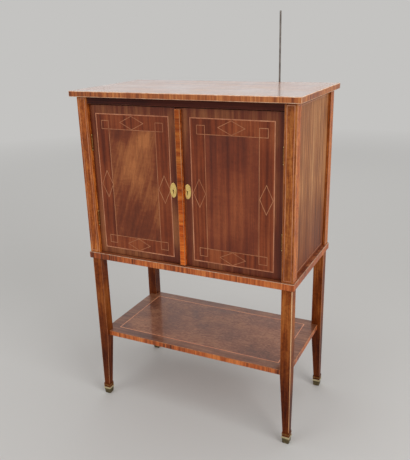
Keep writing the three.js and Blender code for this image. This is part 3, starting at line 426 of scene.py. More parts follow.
@dataclass(frozen=True)
class Paint:
    """Japanned or enamelled iron: a dark skin with brush marks, dust and a grainy casting under it."""

    name: str
    colour: Colour
    worn: Colour
    roughness: float = 0.42
    casting: float = 0.15 * MM
    coat: float = 0.3

    def material(self) -> bpy.types.Material:
        """Builds the finish's material.

        Returns:
            The new material.
        """
        sheet = Sheet(self.name)
        lumps, grains, cloud = (sheet.noise(pattern) for pattern in (LUMPS, CASTING, CLOUD))
        colour = sheet.ramp(cloud, ((0.3, shade(self.colour, 0.8)), (0.7, shade(self.colour, 1.25))))
        colour = sheet.mix(sheet.spread(lumps, 0.0, 0.5, 0.62, 0.78), colour, linear(self.worn))
        sheet.surface(colour, sheet.spread(cloud, self.roughness - 0.06, self.roughness + 0.1))
        sheet.bump(sheet.sum("ADD", lumps, sheet.sum("MULTIPLY", grains, 0.4)), self.casting, 0.6)
        sheet.constants(Coat_Weight=self.coat, Coat_Roughness=0.25, Metallic=0.0)
        return sheet.material


@dataclass(frozen=True)
class Baize:
    """Woollen cloth with a short nap, worn thin in places."""

    name: str
    colour: Colour
    worn: Colour

    def material(self) -> bpy.types.Material:
        """Builds the finish's material.

        Returns:
            The new material.
        """
        sheet = Sheet(self.name)
        nap, cloud = sheet.noise(NAP), sheet.noise(WEAR)
        colour = sheet.ramp(nap, ((0.3, shade(self.colour, 0.7)), (0.7, shade(self.colour, 1.25))))
        colour = sheet.mix(sheet.spread(cloud, 0.0, 0.6, 0.5, 0.75), colour, linear(self.worn))
        sheet.surface(colour, sheet.spread(nap, 0.85, 1.0))
        sheet.bump(nap, 0.4 * MM, 0.8)
        sheet.constants(Sheen_Weight=0.4, Sheen_Roughness=0.5, Specular_IOR_Level=0.2)
        return sheet.material


Finish = Union[Wood, Metal, Paint, Baize]


@lru_cache(maxsize=None)
def material_of(finish: Finish) -> bpy.types.Material:
    """Returns a finish's material, built once and then shared."""
    return finish.material()


def toned(wood: Wood, name: str, factor: float, **changes: object) -> Wood:
    """Returns a wood under a new name, with its colours darker or lighter by a factor."""
    colours = {tone: shade(getattr(wood, tone), factor) for tone in ("dark", "middle", "light")}
    return replace(wood, name=name, **colours, **changes)


# Mahogany of the doors, posts, legs and boards, each with its own figure
# The margin's soft patches are painted highlights and painted reflections on the left door.
DOOR_MARGIN = Wood(
    "door_margin", (84, 34, 20), (112, 50, 28), (156, 94, 56), figure=0.012, contrast=0.6, ripple=0.0, coat=0.08,
    shine=0.22, shift=1.0,
    painted_light_patches=(
        ((-0.027, -0.18, 0.68), (0.03, 0.1, 0.12), 0.3), ((-0.31, -0.18, 0.75), (0.03, 0.1, 0.3), 0.14),
        ((-0.17, -0.18, 0.575), (0.16, 0.1, 0.03), 0.16),
    ),
)
# The band's soft patches are painted highlights on the left door.
DOOR_BAND = Wood(
    "door_band", (100, 40, 18), (134, 60, 29), (158, 82, 44), figure=0.012, figure_length=0.4, ripple=0.1,
    coat=0.08, shine=0.22,
    painted_light_patches=(((-0.17, -0.18, 0.62), (0.17, 0.1, 0.06), 0.14), ((-0.07, -0.18, 0.75), (0.04, 0.1, 0.14), 0.14)),
)
# Soft patches: a painted highlight in the middle of the right panel and painted shade at its top, under the rail.
DOOR_RIGHT = Wood(
    "right_door_panel", (92, 38, 22), (124, 55, 30), (158, 82, 46), figure=0.013, figure_length=0.7, contrast=0.7,
    ripple=0.12, patches=0.25, coat=0.08, shine=0.25, shift=2.0,
    painted_light_patches=(((0.165, -0.18, 0.74), (0.08, 0.1, 0.18), 0.12), ((0.11, -0.18, 0.96), (0.12, 0.1, 0.12), -0.12)),
)
# The left panel's soft patches are painted reflections and painted highlights, with a faint painted shade low down.
DOOR_LEFT = Wood(
    "left_door_panel", (90, 37, 19), (128, 60, 31), (182, 110, 62), figure=0.014, figure_length=0.16, wave=0.5,
    contrast=0.4, ripple=0.12, streaks=0.2, pores=0.25, patches=0.25, coat=0.08, shine=0.25, tilt=0.35,
    shift=4.0,
    painted_light_patches=(
        ((-0.122, -0.18, 0.962), (0.05, 0.1, 0.035), 0.18), ((-0.2, -0.18, 0.905), (0.05, 0.1, 0.08), 0.13),
        ((-0.15, -0.18, 0.93), (0.06, 0.1, 0.06), 0.07), ((-0.105, -0.18, 0.87), (0.022, 0.1, 0.09), 0.08),
        ((-0.165, -0.18, 0.825), (0.07, 0.1, 0.08), 0.11), ((-0.17, -0.18, 0.69), (0.12, 0.1, 0.1), -0.02),
    ),
)
POST = Wood(
    "post_wood", (122, 56, 18), (158, 82, 31), (188, 112, 50), figure=0.005, figure_length=0.06, ripple=0.4,
    streaks=0.3, pores=0.5, coat=0.05, shine=0.2,
)
# A lighter copy of the post wood for faces that look left or right: painted light on the posts' sides.
POST_SIDE_PAINTED_LIGHT = toned(POST, "post_side_painted_light", 1.26, shift=5.0)
LEG = Wood(
    "leg_wood", (108, 44, 12), (150, 74, 26), (184, 106, 48), figure=0.006, figure_length=0.12, contrast=0.9,
    ripple=0.35, streaks=0.3, pores=0.5, patches=0.5, coat=0.0, shine=0.12, height_tint=(166, 138, 104),
    height_tint_z=(0.12, 0.5), shift=6.0,
)
SHOE_BAND = toned(LEG, "shoe_band", 0.95)
# Pale outer corners of the legs: painted highlight, partly worn edge, darker towards the floor.
LEG_ARRIS = Wood(
    "leg_arris", (190, 130, 84), (228, 176, 126), (240, 200, 156), figure=0.006, height_tint=(219, 210, 200),
    height_tint_z=(0.05, 0.4), shift=21.0,
)
# The height tint is painted shade: the panel turns darker and more orange towards the bottom, below the glare on
# its upper part.
SIDE = Wood(
    "side_wood", (134, 74, 34), (180, 114, 66), (210, 152, 102), figure=0.009, figure_length=0.8, ripple=0.0,
    streaks=0.45, coat=0.03, shine=0.14, height_tint=(188, 138, 92), height_tint_z=(0.56, 0.84), shift=8.0,
)
# The front rail's wood, painted much darker: painted shade from the lid's overhang over the rail's own mahogany.
RAIL_PAINTED_SHADE = Wood(
    "rail_wood", (52, 18, 12), (76, 30, 20), (94, 44, 28), Grain.X, figure=0.008, ripple=0.0, coat=0.0,
    roughness=0.6, shine=0.15, shift=10.0,
)
TOP = Wood(
    "top_wood", (106, 58, 36), (142, 90, 62), (168, 116, 84), Grain.X, figure=0.014, contrast=0.7, patches=0.3,
    ripple=0.4, streaks=0.3, coat=0.4, roughness=0.4, shine=0.5, shift=12.0,
)
SHELF = Wood(
    "shelf_wood", (112, 60, 36), (152, 92, 62), (186, 128, 92), Grain.X, figure=0.012, figure_length=0.03,
    wave=2.4, contrast=0.8, ripple=0.2, patches=0.4, coat=0.24, coat_roughness=0.09, roughness=0.45, shine=0.2,
    shift=14.0,
)
SHELF_BORDER = toned(SHELF, "shelf_border", 0.92, figure=0.01, figure_length=0.2, wave=0.3, shift=15.0)
EDGE_BAND = Wood(
    "edge_crossbanding", (92, 38, 14), (190, 92, 36), (226, 132, 66), figure=0.007, figure_length=0.2,
    ripple=0.0, streaks=0.3, shift=16.0,
)
LID_BAND = replace(
    EDGE_BAND, name="lid_crossbanding", dark=(128, 60, 24), middle=(180, 98, 46), light=(212, 134, 72)
)
STRIP = Wood(
    "strip_crossbanding", (146, 54, 14), (212, 92, 25), (240, 126, 44), Grain.X, figure=0.013,
    figure_length=0.08, ripple=0.0, streaks=0.3, coat=0.04, shine=0.15, height_tint=(206, 226, 255),
    height_tint_z=(0.9, 0.6), shift=18.0,
)
ARRIS = Wood("worn_arris", (150, 84, 46), (192, 124, 78), (222, 162, 116), figure=0.006, shift=20.0)
DARK_ARRIS = Wood("dark_arris", (84, 36, 20), (116, 56, 34), (150, 88, 58), figure=0.006, shift=22.0)
# Pale arrises of the plate and the lid: painted highlight along the edge, partly worn edge; the lid's copy is
# lighter and the plate's darker.
PALE_ARRIS = Wood("pale_arris", (186, 130, 96), (216, 168, 134), (236, 200, 172), figure=0.006, shift=24.0)
PLATE_ARRIS = toned(PALE_ARRIS, "plate_arris", 0.9, figure=0.012)
LID_ARRIS = toned(PALE_ARRIS, "lid_arris", 1.12, figure=0.02, shift=25.0)
STRING = Wood(
    "boxwood_string", (160, 94, 64), (196, 126, 90), (220, 156, 118), figure=0.012, figure_length=0.04,
    contrast=0.6, ripple=0.1, streaks=0.06, pores=0.15, shift=26.0,
)
# A lighter copy of the string for the shelf: painted light, lifting the shade under the case.
STRING_PAINTED_LIGHT = toned(STRING, "string_painted_light", 1.2)
FINE_STRING = replace(
    STRING, name="fine_string", dark=(146, 86, 54), middle=(180, 114, 76), light=(202, 142, 100)
)
INSIDE = Wood(
    "inside_wood", (78, 38, 24), (110, 60, 36), (136, 82, 52), Grain.X, figure=0.014, ripple=0.1, shift=28.0
)
PLATE_TOP = toned(INSIDE, "plate_top", 1.35, shift=29.0)
BACKING = Wood("back_wood", (92, 56, 36), (124, 82, 54), (150, 108, 76), coat=0.0, roughness=0.55, shift=30.0)
BACK_RAIL = replace(BACKING, name="back_rail_wood", grain=Grain.X)
PINE = Wood(
    "horn_wood", (98, 62, 36), (122, 82, 50), (142, 102, 66), Grain.Y, figure=0.012, contrast=0.6, ripple=0.0,
    streaks=0.14, pores=0.2, coat=0.1, roughness=0.5, shift=32.0,
)
GRIP = Wood("grip_wood", (40, 22, 16), (66, 36, 24), (90, 54, 36), Grain.X, figure=0.003, coat=0.5, shift=34.0)

# Metals, paints and cloth
OLD_BRASS = Metal("old_brass", (178, 158, 114), (112, 100, 74), cover=0.7, roughness=0.4)
RIM_BRASS = Metal("worn_brass", (216, 202, 160), (164, 142, 94), cover=0.3)
BRASS = Metal("bright_brass", (222, 194, 122), (184, 152, 88), cover=0.35, patch=0.03, roughness=0.26)
PLATE_BRASS = Metal("keyhole_brass", (255, 222, 140), (206, 156, 78), cover=0.35, patch=0.007, roughness=0.2)
HINGE_BRASS = Metal("hinge_brass", (172, 124, 70), (112, 72, 40), cover=0.5, patch=0.006, roughness=0.4)
NICKEL = Metal("nickel_plate", (196, 192, 182), (140, 132, 116), cover=0.3, patch=0.02, roughness=0.16)
STEEL = Metal("dull_steel", (138, 130, 124), (84, 76, 70), cover=0.4, patch=0.015, roughness=0.34, brushed=Grain.Z)
IRON = Paint("japanned_iron", (34, 34, 36), (70, 64, 58))
BLACK = Paint("black_enamel", (24, 23, 24), (62, 52, 44), casting=0.06 * MM)
MICA = Paint("mica_disc", (176, 168, 146), (208, 202, 186), roughness=0.2, casting=0.02 * MM, coat=0.6)
FELT = Baize("green_baize", (44, 66, 42), (74, 84, 58))


# ---------------------------------------------------------------- mesh tools
class Facing(Enum):
    """Which way a flat face looks, as its own right, up and outward axes."""

    FRONT = ((1, 0, 0), (0, 0, 1), (0, -1, 0))
    BACK = ((-1, 0, 0), (0, 0, 1), (0, 1, 0))
    RIGHT = ((0, 1, 0), (0, 0, 1), (1, 0, 0))
    LEFT = ((0, -1, 0), (0, 0, 1), (-1, 0, 0))
    TOP = ((1, 0, 0), (0, 1, 0), (0, 0, 1))

    @property
    def out(self) -> Vector:
        """The direction that the face looks in."""
        return Vector(self.value[2])

    def at(self, origin: Vector) -> Matrix:
        """Returns the matrix that lays a flat drawing on such a face, centred on a point."""
        axes = Matrix([Vector(axis) for axis in self.value]).transposed()
        return Matrix.Translation(origin) @ axes.to_4x4()


class Shape:
    """A mesh in the making, with Blender's mesh operators behind short calls."""

    def __init__(self) -> None:
        """Starts an empty mesh."""
        self.bm = bmesh.new()

    @classmethod
    def of_node(cls, node: str) -> "Shape":
        """Starts from a merged copy of a frame node's mesh, with its flat faces whole.

        Args:
            node: The frame node's name.

        Returns:
            The new shape.
        """
        shape = cls()
        shape.bm.from_mesh(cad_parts[node].data)
        bmesh.ops.remove_doubles(shape.bm, verts=shape.bm.verts, dist=WELD)
        bmesh.ops.dissolve_limit(
            shape.bm, angle_limit=math.radians(0.8), verts=shape.bm.verts, edges=shape.bm.edges
        )
        return shape

    def since(self, known: set[Face]) -> tuple[list[Face], list[Vert]]:
        """Returns the faces made since a set was taken, and their vertices."""
        faces = [face for face in self.bm.faces if face not in known]
        return faces, list({vert for face in faces for vert in face.verts})

    def block(self, low: Vector, high: Vector, bevel: float) -> None:
        """Adds a box between two corners, with rounded edges.

        Args:
            low: The lowest corner.
            high: The highest corner.
            bevel: The width of its rounded edges.
        """
        matrix = Matrix.Translation((low + high) / 2) @ Matrix.Diagonal((*(high - low), 1.0))
        verts = bmesh.ops.create_cube(self.bm, size=1.0, matrix=matrix)["verts"]
        self.bevel_edges(list({edge for vert in verts for edge in vert.link_edges}), bevel, 2)

    def blocks_round(
        self, centre: Vector, radius: float, size: Triple, angles: Iterable[float], finish: int = 0
    ) -> None:
        """Adds a small block at each of some angles round an upright axis.

        Args:
            centre: The axis's point at the blocks' middle height.
            radius: How far out each block's middle lies.
            size: The block's size outward, sideways and up.
            angles: Where the blocks stand, in radians.
            finish: The place of their finish in the piece's list.
        """
        known = set(self.bm.faces)
        arm = Matrix.Translation((radius, 0, 0)) @ Matrix.Diagonal((*size, 1.0))
        for angle in angles:
            matrix = Matrix.Translation(centre) @ Matrix.Rotation(angle, 4, "Z") @ arm
            bmesh.ops.create_cube(self.bm, size=1.0, matrix=matrix)
        self.paint(self.since(known)[0], finish)

    def lathe(
        self, profile: Sequence[tuple[float, float]], centre: Vector, axis: Grain = Grain.Z, steps: int = 64,
        finish: int = 0,
    ) -> None:
        """Adds a turned solid.

        Args:
            profile: Points of radius and height that run outside round the section.
            centre: Where height 0 lies on the axis.
            axis: The axis that it is turned about.
            steps: How many sides it has.
            finish: The place of its finish in the piece's list.
        """
        points = [self.bm.verts.new((radius, 0.0, height)) for radius, height in profile]
        edges = [self.bm.edges.new(pair) for pair in zip(points, points[1:])]
        if profile[0][0] > 0 or profile[-1][0] > 0:
            edges.append(self.bm.edges.new((points[-1], points[0])))
        known = set(self.bm.faces)
        bmesh.ops.spin(
            self.bm, geom=points + edges, cent=(0, 0, 0), axis=(0, 0, 1), dvec=(0, 0, 0), angle=math.tau,
            steps=steps, use_merge=True, use_normal_flip=False, use_duplicate=False,
        )
        bmesh.ops.remove_doubles(self.bm, verts=self.since(known)[1], dist=WELD / 10)
        faces, verts = self.since(known)
        turn = {Grain.X: Matrix.Rotation(math.pi / 2, 4, "Y"), Grain.Y: Matrix.Rotation(-math.pi / 2, 4, "X")}
        matrix = Matrix.Translation(centre) @ turn.get(axis, Matrix.Identity(4))
        bmesh.ops.transform(self.bm, matrix=matrix, verts=verts)
        bmesh.ops.recalc_face_normals(self.bm, faces=faces)
        self.paint(faces, finish)

    def line_ring(
        self, centre: Vector, half: tuple[float, float], width: float, facing: Facing, lozenge: bool = False,
        finish: int = 0,
    ) -> "Shape":
        """Adds a thin closed band: a rectangle or a lozenge, laid flat on a face.

        Args:
            centre: The middle of the figure, on the face's plane.
            half: Half its outer size to the right and up.
            width: The band's width.
            facing: Which way the face looks.
            lozenge: Whether its corners lie on its own axes.
            finish: The place of its finish in the piece's list.

        Returns:
            The shape itself.
        """
        turn = Matrix.Identity(4) if lozenge else Matrix.Rotation(math.pi / 4, 4, "Z")
        reach = 1.0 if lozenge else math.sqrt(2)
        start = Matrix.Diagonal((half[0], half[1], 1.0, 1.0)) @ turn
        known = set(self.bm.faces)
        bmesh.ops.create_circle(self.bm, cap_ends=True, segments=4, radius=reach, matrix=start)
        inner, _ = self.since(known)
        bmesh.ops.inset_region(
            self.bm, faces=inner, thickness=width, use_even_offset=True, use_boundary=True
        )
        bmesh.ops.delete(self.bm, geom=inner, context="FACES_ONLY")
        band, _ = self.since(known)
        raised = bmesh.ops.extrude_face_region(self.bm, geom=band)["geom"]
        tops = [item for item in raised if isinstance(item, Vert)]
        bmesh.ops.translate(self.bm, verts=tops, vec=(0, 0, INLAY))
        faces, verts = self.since(known)
        bmesh.ops.transform(self.bm, matrix=facing.at(centre), verts=verts)
        bmesh.ops.recalc_face_normals(self.bm, faces=faces)
        self.paint(faces, finish)
        return self

    def screw(self, place: Vector, facing: Facing, radius: float, turn: float) -> None:
        """Adds a slotted screw head on a flat face.

        Args:
            place: The head's centre on the face's plane.
            facing: Which way the face looks.
            radius: The head's radius.
            turn: The slot's turn, in radians.
        """
        height, half_slot = radius * HEAD_HEIGHT, radius * HALF_SLOT
        known = set(self.bm.faces)
        head = Matrix.Translation((0, 0, height / 2))
        bmesh.ops.create_cone(
            self.bm, cap_ends=True, segments=20, radius1=radius, radius2=radius * HEAD_TOP, depth=height,
            matrix=head,
        )
        across = Vector((math.cos(turn), math.sin(turn), 0))
        for side in (-half_slot, half_slot):
            tops = [f for f in self.bm.faces if f not in known and f.normal.z > FLAT]
            parts = {edge for f in tops for edge in f.edges} | {vert for f in tops for vert in f.verts}
            bmesh.ops.bisect_plane(
                self.bm, geom=[*tops, *parts], dist=WELD / 10, plane_co=across * side, plane_no=across
            )
        slot = [
            f for f in self.bm.faces
            if f not in known and f.normal.z > FLAT and abs(f.calc_center_bounds().dot(across)) < half_slot / 2
        ]
        sunk = bmesh.ops.extrude_face_region(self.bm, geom=slot)["geom"]
        floor = [item for item in sunk if isinstance(item, Vert)]
        bmesh.ops.translate(self.bm, verts=floor, vec=(0, 0, -height * SLOT_DEPTH))
        faces, verts = self.since(known)
        bmesh.ops.transform(self.bm, matrix=facing.at(place), verts=verts)
        self.paint(faces, 0)

    def bevel_edges(self, edges: Sequence[Edge], width: float, segments: int) -> dict:
        """Rounds some edges and returns what the bevel operator made."""
        return bmesh.ops.bevel(
            self.bm, geom=list(edges), offset=width, offset_type="OFFSET", segments=segments, profile=0.5,
            affect="EDGES", clamp_overlap=True, material=-1,
        )

    def soften(
        self, width: float, segments: int = 2, finish: int = 0,
        where: Callable[[Edge], bool] = lambda edge: True, sharper_than: float = 30.0,
    ) -> "Shape":
        """Rounds the sharp edges that a test picks.

        Args:
            width: The bevel's width.
            segments: How many faces make the bevel.
            finish: The place of the bevel's finish in the piece's list.
            where: Tells whether an edge is rounded.
            sharper_than: The least turn between an edge's faces, in degrees.

        Returns:
            The shape itself.
        """
        limit = math.radians(sharper_than)
        edges = [
            edge for edge in self.bm.edges
            if len(edge.link_faces) == 2 and edge.calc_face_angle() > limit and where(edge)
        ]
        self.paint(self.bevel_edges(edges, width, segments)["faces"], finish)
        return self

    def on_rim(self) -> Callable[[Edge], bool]:
        """Returns a test for edges that lie along the edges of the shape's own box."""
        places, tolerance = [vert.co for vert in self.bm.verts], WELD * 5
        limits = [(min(p[i] for p in places), max(p[i] for p in places)) for i in range(3)]

        def test(edge: Edge) -> bool:
            """Tells whether both ends lie on the same two sides of the box."""
            first, second = (vert.co for vert in edge.verts)
            sides = sum(
                any(abs(first[i] - side) < tolerance and abs(second[i] - side) < tolerance for side in limits[i])
                for i in range(3)
            )
            return sides >= 2

        return test

    def paint(self, faces: Iterable[Face], finish: int) -> None:
        """Gives faces the finish at a place in the piece's list."""
        for face in faces:
            face.material_index = finish

    def paint_where(self, test: Callable[[Face], bool], finish: int) -> "Shape":
        """Gives a finish to the faces that a test picks, and returns the shape."""
        self.paint([face for face in self.bm.faces if test(face)], finish)
        return self

    def score(self, facing: Facing, cuts: Sequence[tuple[Vector, Vector]]) -> "Shape":
        """Divides the outermost flat faces that look one way, as by a knife.

        Args:
            facing: Which way the faces look.
            cuts: A point and a direction across each cut.

        Returns:
            The shape itself.
        """
        out = facing.out
        level = max(vert.co.dot(out) for vert in self.bm.verts)
        for point, across in cuts:
            faces = [
                face for face in self.bm.faces
                if face.normal.dot(out) > FLAT and abs(face.calc_center_median().dot(out) - level) < WELD
            ]
            edges = {edge for face in faces for edge in face.edges}
            verts = {vert for face in faces for vert in face.verts}
            bmesh.ops.bisect_plane(
                self.bm, geom=[*faces, *edges, *verts], dist=WELD, plane_co=point, plane_no=across
            )
        return self

    def piece(
        self, name: str, body: str, slot: str, finishes: Sequence[Finish], stands_for: Sequence[str] = (),
        smooth: float = 50.0,
    ) -> bpy.types.Object:
        """Ends the mesh as a piece of the cabinet.

        Args:
            name: The piece's name.
            body: The frame body that it moves with.
            slot: The record's material slot, which is not used.
            finishes: The finishes that the faces' indices point to.
            stands_for: The frame nodes that it replaces.
            smooth: The greatest turn between faces that shades as round, in degrees.

        Returns:
            The finished object.
        """
        mesh = bpy.data.meshes.new(name)
        self.bm.to_mesh(mesh)
        self.bm.free()
        for finish in finishes:
            mesh.materials.append(material_of(finish))
        mesh.polygons.foreach_set("use_smooth", [True] * len(mesh.polygons))
        mesh.set_sharp_from_angle(angle=math.radians(smooth))
        piece = bpy.data.objects.new(name, mesh)
        bpy.context.scene.collection.objects.link(piece)
        weighted = piece.modifiers.new("weighted_normals", "WEIGHTED_NORMAL")
        weighted.keep_sharp = True
        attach(piece, body)
        if stands_for:
            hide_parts(*stands_for)
        LOG.info("%s: %d faces on %s", name, len(mesh.polygons), body)
        return piece


def middle_of(node: str) -> tuple[Vector, Vector]:
    """Returns the middle of a frame node's box, and half its size."""
    low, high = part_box(node)
    return (low + high) / 2, (high - low) / 2


def faces_up(face: Face) -> bool:
    """Tells whether a face looks up or down."""
    return abs(face.normal.z) > 0.7


def dress(node: str, body: str, slot: str, finish: Finish, width: float = 0.4 * MM) -> None:
    """Makes a node's piece from its own mesh, with rounded edges where it has straight ones.

    Args:
        node: The frame node's name, which with "_dressed" is the piece's too.
        body: The frame body that it moves with.
        slot: The record's material slot.
        finish: The piece's one finish.
        width: The bevel's width, or 0 for none.
    """
    shape = Shape.of_node(node)
    if width > 0:
        shape.soften(width, where=shape.on_rim())
    shape.piece(f"{node}_dressed", body, slot, [finish], [node], 40.0)


CORNERS = ("front_left", "front_right", "rear_left", "rear_right")


# ---------------------------------------------------------------- stand
@dataclass
class Stand:
    """Legs in brass shoes, the plate under the case and the lower shelf."""

    leg_arris: float = 0.8 * MM
    outer_arris: float = 2.2 * MM
    shoe_arris: float = 0.5 * MM
    rim_low: float = 19 * MM
    rim_high: float = 27 * MM
    fillet_low: float = 33.5 * MM
    fillet_high: float = 37.5 * MM
    plate_round: float = 2.4 * MM
    shelf_arris: float = 1.2 * MM
    string_half: tuple[float, float] = (303 * MM, 141.5 * MM)
    string_width: float = 3.2 * MM
    string_sunk: float = 0.3 * MM

    def build(self) -> None:
        """Builds the whole stand."""
        for index, corner in enumerate(CORNERS):
            self.leg(corner, index)
            self.shoe(corner)
        self.plate()
        self.shelf()

    def leg(self, corner: str, index: int) -> None:
        """Builds one tapering leg with softened arrises.

        Args:
            corner: Which corner the leg stands at.
            index: The corner's number, which moves the grain.
        """
        node = f"leg_{corner}"
        middle, _ = middle_of(node)
        outer = Vector((math.copysign(1, middle.x), math.copysign(1, middle.y), 0))

        def at_corner(edge: Edge) -> bool:
            """Tells whether a long edge runs up the leg's outer corner."""
            return edge.calc_length() > 0.1 and min((v.co - middle).dot(outer) for v in edge.verts) > 20 * MM

        shape = Shape.of_node(node)
        # The outer corner takes the pale leg arris: painted highlight, partly worn edge.
        shape.soften(self.outer_arris, 2, 2, at_corner)
        shape.soften(self.leg_arris, 2, 1, lambda edge: edge.calc_length() > 0.1, 60.0)
        wood = replace(LEG, name=f"{LEG.name}_{index}", shift=LEG.shift + index)
        shape.piece(f"{node}_dressed", "case", "leg_mahogany", [wood, ARRIS, LEG_ARRIS], [node])

    def shoe(self, corner: str) -> None:
        """Builds one brass shoe, bright on its worn rims and dark elsewhere."""
        shape = Shape.of_node(f"sabot_{corner}").soften(self.shoe_arris, sharper_than=55.0)

        def level(face: Face) -> float:
            """Returns how high a face's middle lies."""
            return face.calc_center_median().z

        shape.paint_where(lambda face: level(face) > self.rim_high, 2)
        shape.paint_where(lambda face: self.rim_low < level(face) < self.rim_high, 1)
        shape.paint_where(lambda face: self.fillet_low < level(face) < self.fillet_high, 3)
        finishes = [OLD_BRASS, RIM_BRASS, SHOE_BAND, HINGE_BRASS]
        shape.piece(f"shoe_{corner}", "case", "aged_brass", finishes, [f"sabot_{corner}"])

    def plate(self) -> None:
        """Builds the crossbanded plate with its rounded edge."""
        shape = Shape.of_node("base_plate")
        rim = shape.on_rim()
        shape.paint_where(lambda face: not faces_up(face), 1)
        shape.soften(self.plate_round, 4, 1, rim)
        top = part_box("base_plate")[1].z
        # The top rounding takes the pale plate arris: painted highlight, partly worn edge.
        shape.paint_where(lambda face: face.calc_center_median().z > top - self.plate_round * 0.6, 2)
        shape.paint_where(lambda face: face.normal.z > FLAT, 0)
        finishes = [PLATE_TOP, EDGE_BAND, PLATE_ARRIS]
        shape.piece("base_plate_dressed", "case", "crossbanded_mahogany", finishes, ["base_plate"])

    def shelf(self) -> None:
        """Builds the shelf: figured field, string, border and crossbanded edge."""
        shape = Shape.of_node("lower_shelf")
        shape.paint_where(lambda face: not faces_up(face), 1)
        shape.soften(self.shelf_arris, 2, 2)
        half_x, half_y = (size - self.string_width / 2 for size in self.string_half)
        cuts = [(Vector((sign * half_x, 0, 0)), Vector((1, 0, 0))) for sign in (-1, 1)]
        cuts += [(Vector((0, sign * half_y, 0)), Vector((0, 1, 0))) for sign in (-1, 1)]
        shape.score(Facing.TOP, cuts)

        def on_border(face: Face) -> bool:
            """Tells whether an upward face lies outside the string."""
            place = face.calc_center_bounds()
            outside = abs(place.x) > half_x or abs(place.y) > half_y
            return face.normal.z > FLAT and outside

        shape.paint_where(on_border, 3)
        finishes = [SHELF, EDGE_BAND, ARRIS, SHELF_BORDER]
        shape.piece("lower_shelf_dressed", "case", "figured_mahogany", finishes, ["lower_shelf"])
        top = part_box("lower_shelf")[1].z
        middle = Vector((0, 0, top - self.string_sunk))
        # The shelf's string takes the lighter copy: painted light in the shade under the case.
        string = Shape().line_ring(middle, self.string_half, self.string_width, Facing.TOP)
        string.piece("shelf_string", "case", "boxwood_inlay", [STRING_PAINTED_LIGHT])


# ---------------------------------------------------------------- case
@dataclass
class Carcase:
    """Corner posts, side panels, back and rails."""

    arris: float = 0.8 * MM
    string_inset: float = 6 * MM
    string_width: float = 2.0 * MM
    panel_string_inset: float = 13 * MM
    string_sunk: float = 0.4 * MM
    screw_rows: int = 6
    screw_radius: float = 3.4 * MM
    screw_end: float = 20 * MM
    screw_inset: float = 10 * MM
    screw_low: float = 12 * MM
    screw_step: float = 140 * MM

    def build(self) -> None:
        """Builds the whole case."""
        for index, corner in enumerate(CORNERS):
            self.post(corner, index)
        for side in ("left", "right"):
            self.side(side)
        dress("back_panel", "case", "rail_mahogany", BACKING)
        self.back_screws()
        dress("back_rail", "case", "rail_mahogany", BACK_RAIL)
        # The front rail takes the darkened rail wood: painted shade under the lid's overhang.
        shape = Shape.of_node("front_rail")
        shape.soften(self.arris, finish=1, where=shape.on_rim())
        shape.piece("front_rail_dressed", "case", "rail_mahogany", [RAIL_PAINTED_SHADE, DARK_ARRIS], ["front_rail"])

    def back_screws(self) -> None:
        """Drives the brass screws that hold the back panel."""
        low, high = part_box("back_panel")
        screws = Shape()
        for row in range(self.screw_rows):
            run = high.z - low.z - 2 * self.screw_end
            z = low.z + self.screw_end + run * row / (self.screw_rows - 1)
            for side in (-1, 1):
                spot = Vector((side * (high.x - self.screw_inset), high.y, z))
                screws.screw(spot, Facing.BACK, self.screw_radius, 0.9 * row + side)
        for column in range(self.screw_rows - 2):
            x = (column - (self.screw_rows - 3) / 2) * self.screw_step
            spot = Vector((x, high.y, low.z + self.screw_low))
            screws.screw(spot, Facing.BACK, self.screw_radius, 1.3 * column)
        screws.piece("back_panel_screws", "case", "polished_brass", [BRASS])

    def post(self, corner: str, index: int) -> None:
        """Builds one post with a string round each face that shows.

        Args:
            corner: Which corner the post stands at.
            index: The corner's number, which moves the grain.
        """
        node = f"post_{corner}"
        wood = toned(POST, f"{POST.name}_{index}", 1.0 if "right" in corner else 1.14, shift=index * 1.7)
        shape = Shape.of_node(node)
        # Faces that look left or right take the lighter copy: painted light on the sides.
        shape.paint_where(lambda face: abs(face.normal.x) > 0.9, 2)
        shape.soften(self.arris, 2, 1)
        shape.piece(f"{node}_dressed", "case", "crossbanded_mahogany", [wood, ARRIS, POST_SIDE_PAINTED_LIGHT], [node])
        middle, half = middle_of(node)
        outward = Facing.RIGHT if middle.x > 0 else Facing.LEFT
        faces = [outward, Facing.FRONT] if middle.y < 0 else [outward]
        string = Shape()
        size = (half.x - self.string_inset, half.z - self.string_inset)
        for facing in faces:
            reach = abs(half.dot(facing.out)) - self.string_sunk
            string.line_ring(middle + facing.out * reach, size, self.string_width, facing)
        string.piece(f"{node}_string", "case", "boxwood_inlay", [STRING])

    def side(self, side: str) -> None:
        """Builds one side panel with its string."""
        node = f"side_panel_{side}"
        Shape.of_node(node).piece(f"{node}_dressed", "case", "figured_mahogany", [SIDE], [node])
        middle, half = middle_of(node)
        facing = Facing.RIGHT if side == "right" else Facing.LEFT
        size = (half.y - self.panel_string_inset, half.z - self.panel_string_inset)
        face = middle + facing.out * (half.x - self.string_sunk)
        string = Shape().line_ring(face, size, self.string_width, facing)
        string.piece(f"{node}_string", "case", "boxwood_inlay", [STRING])


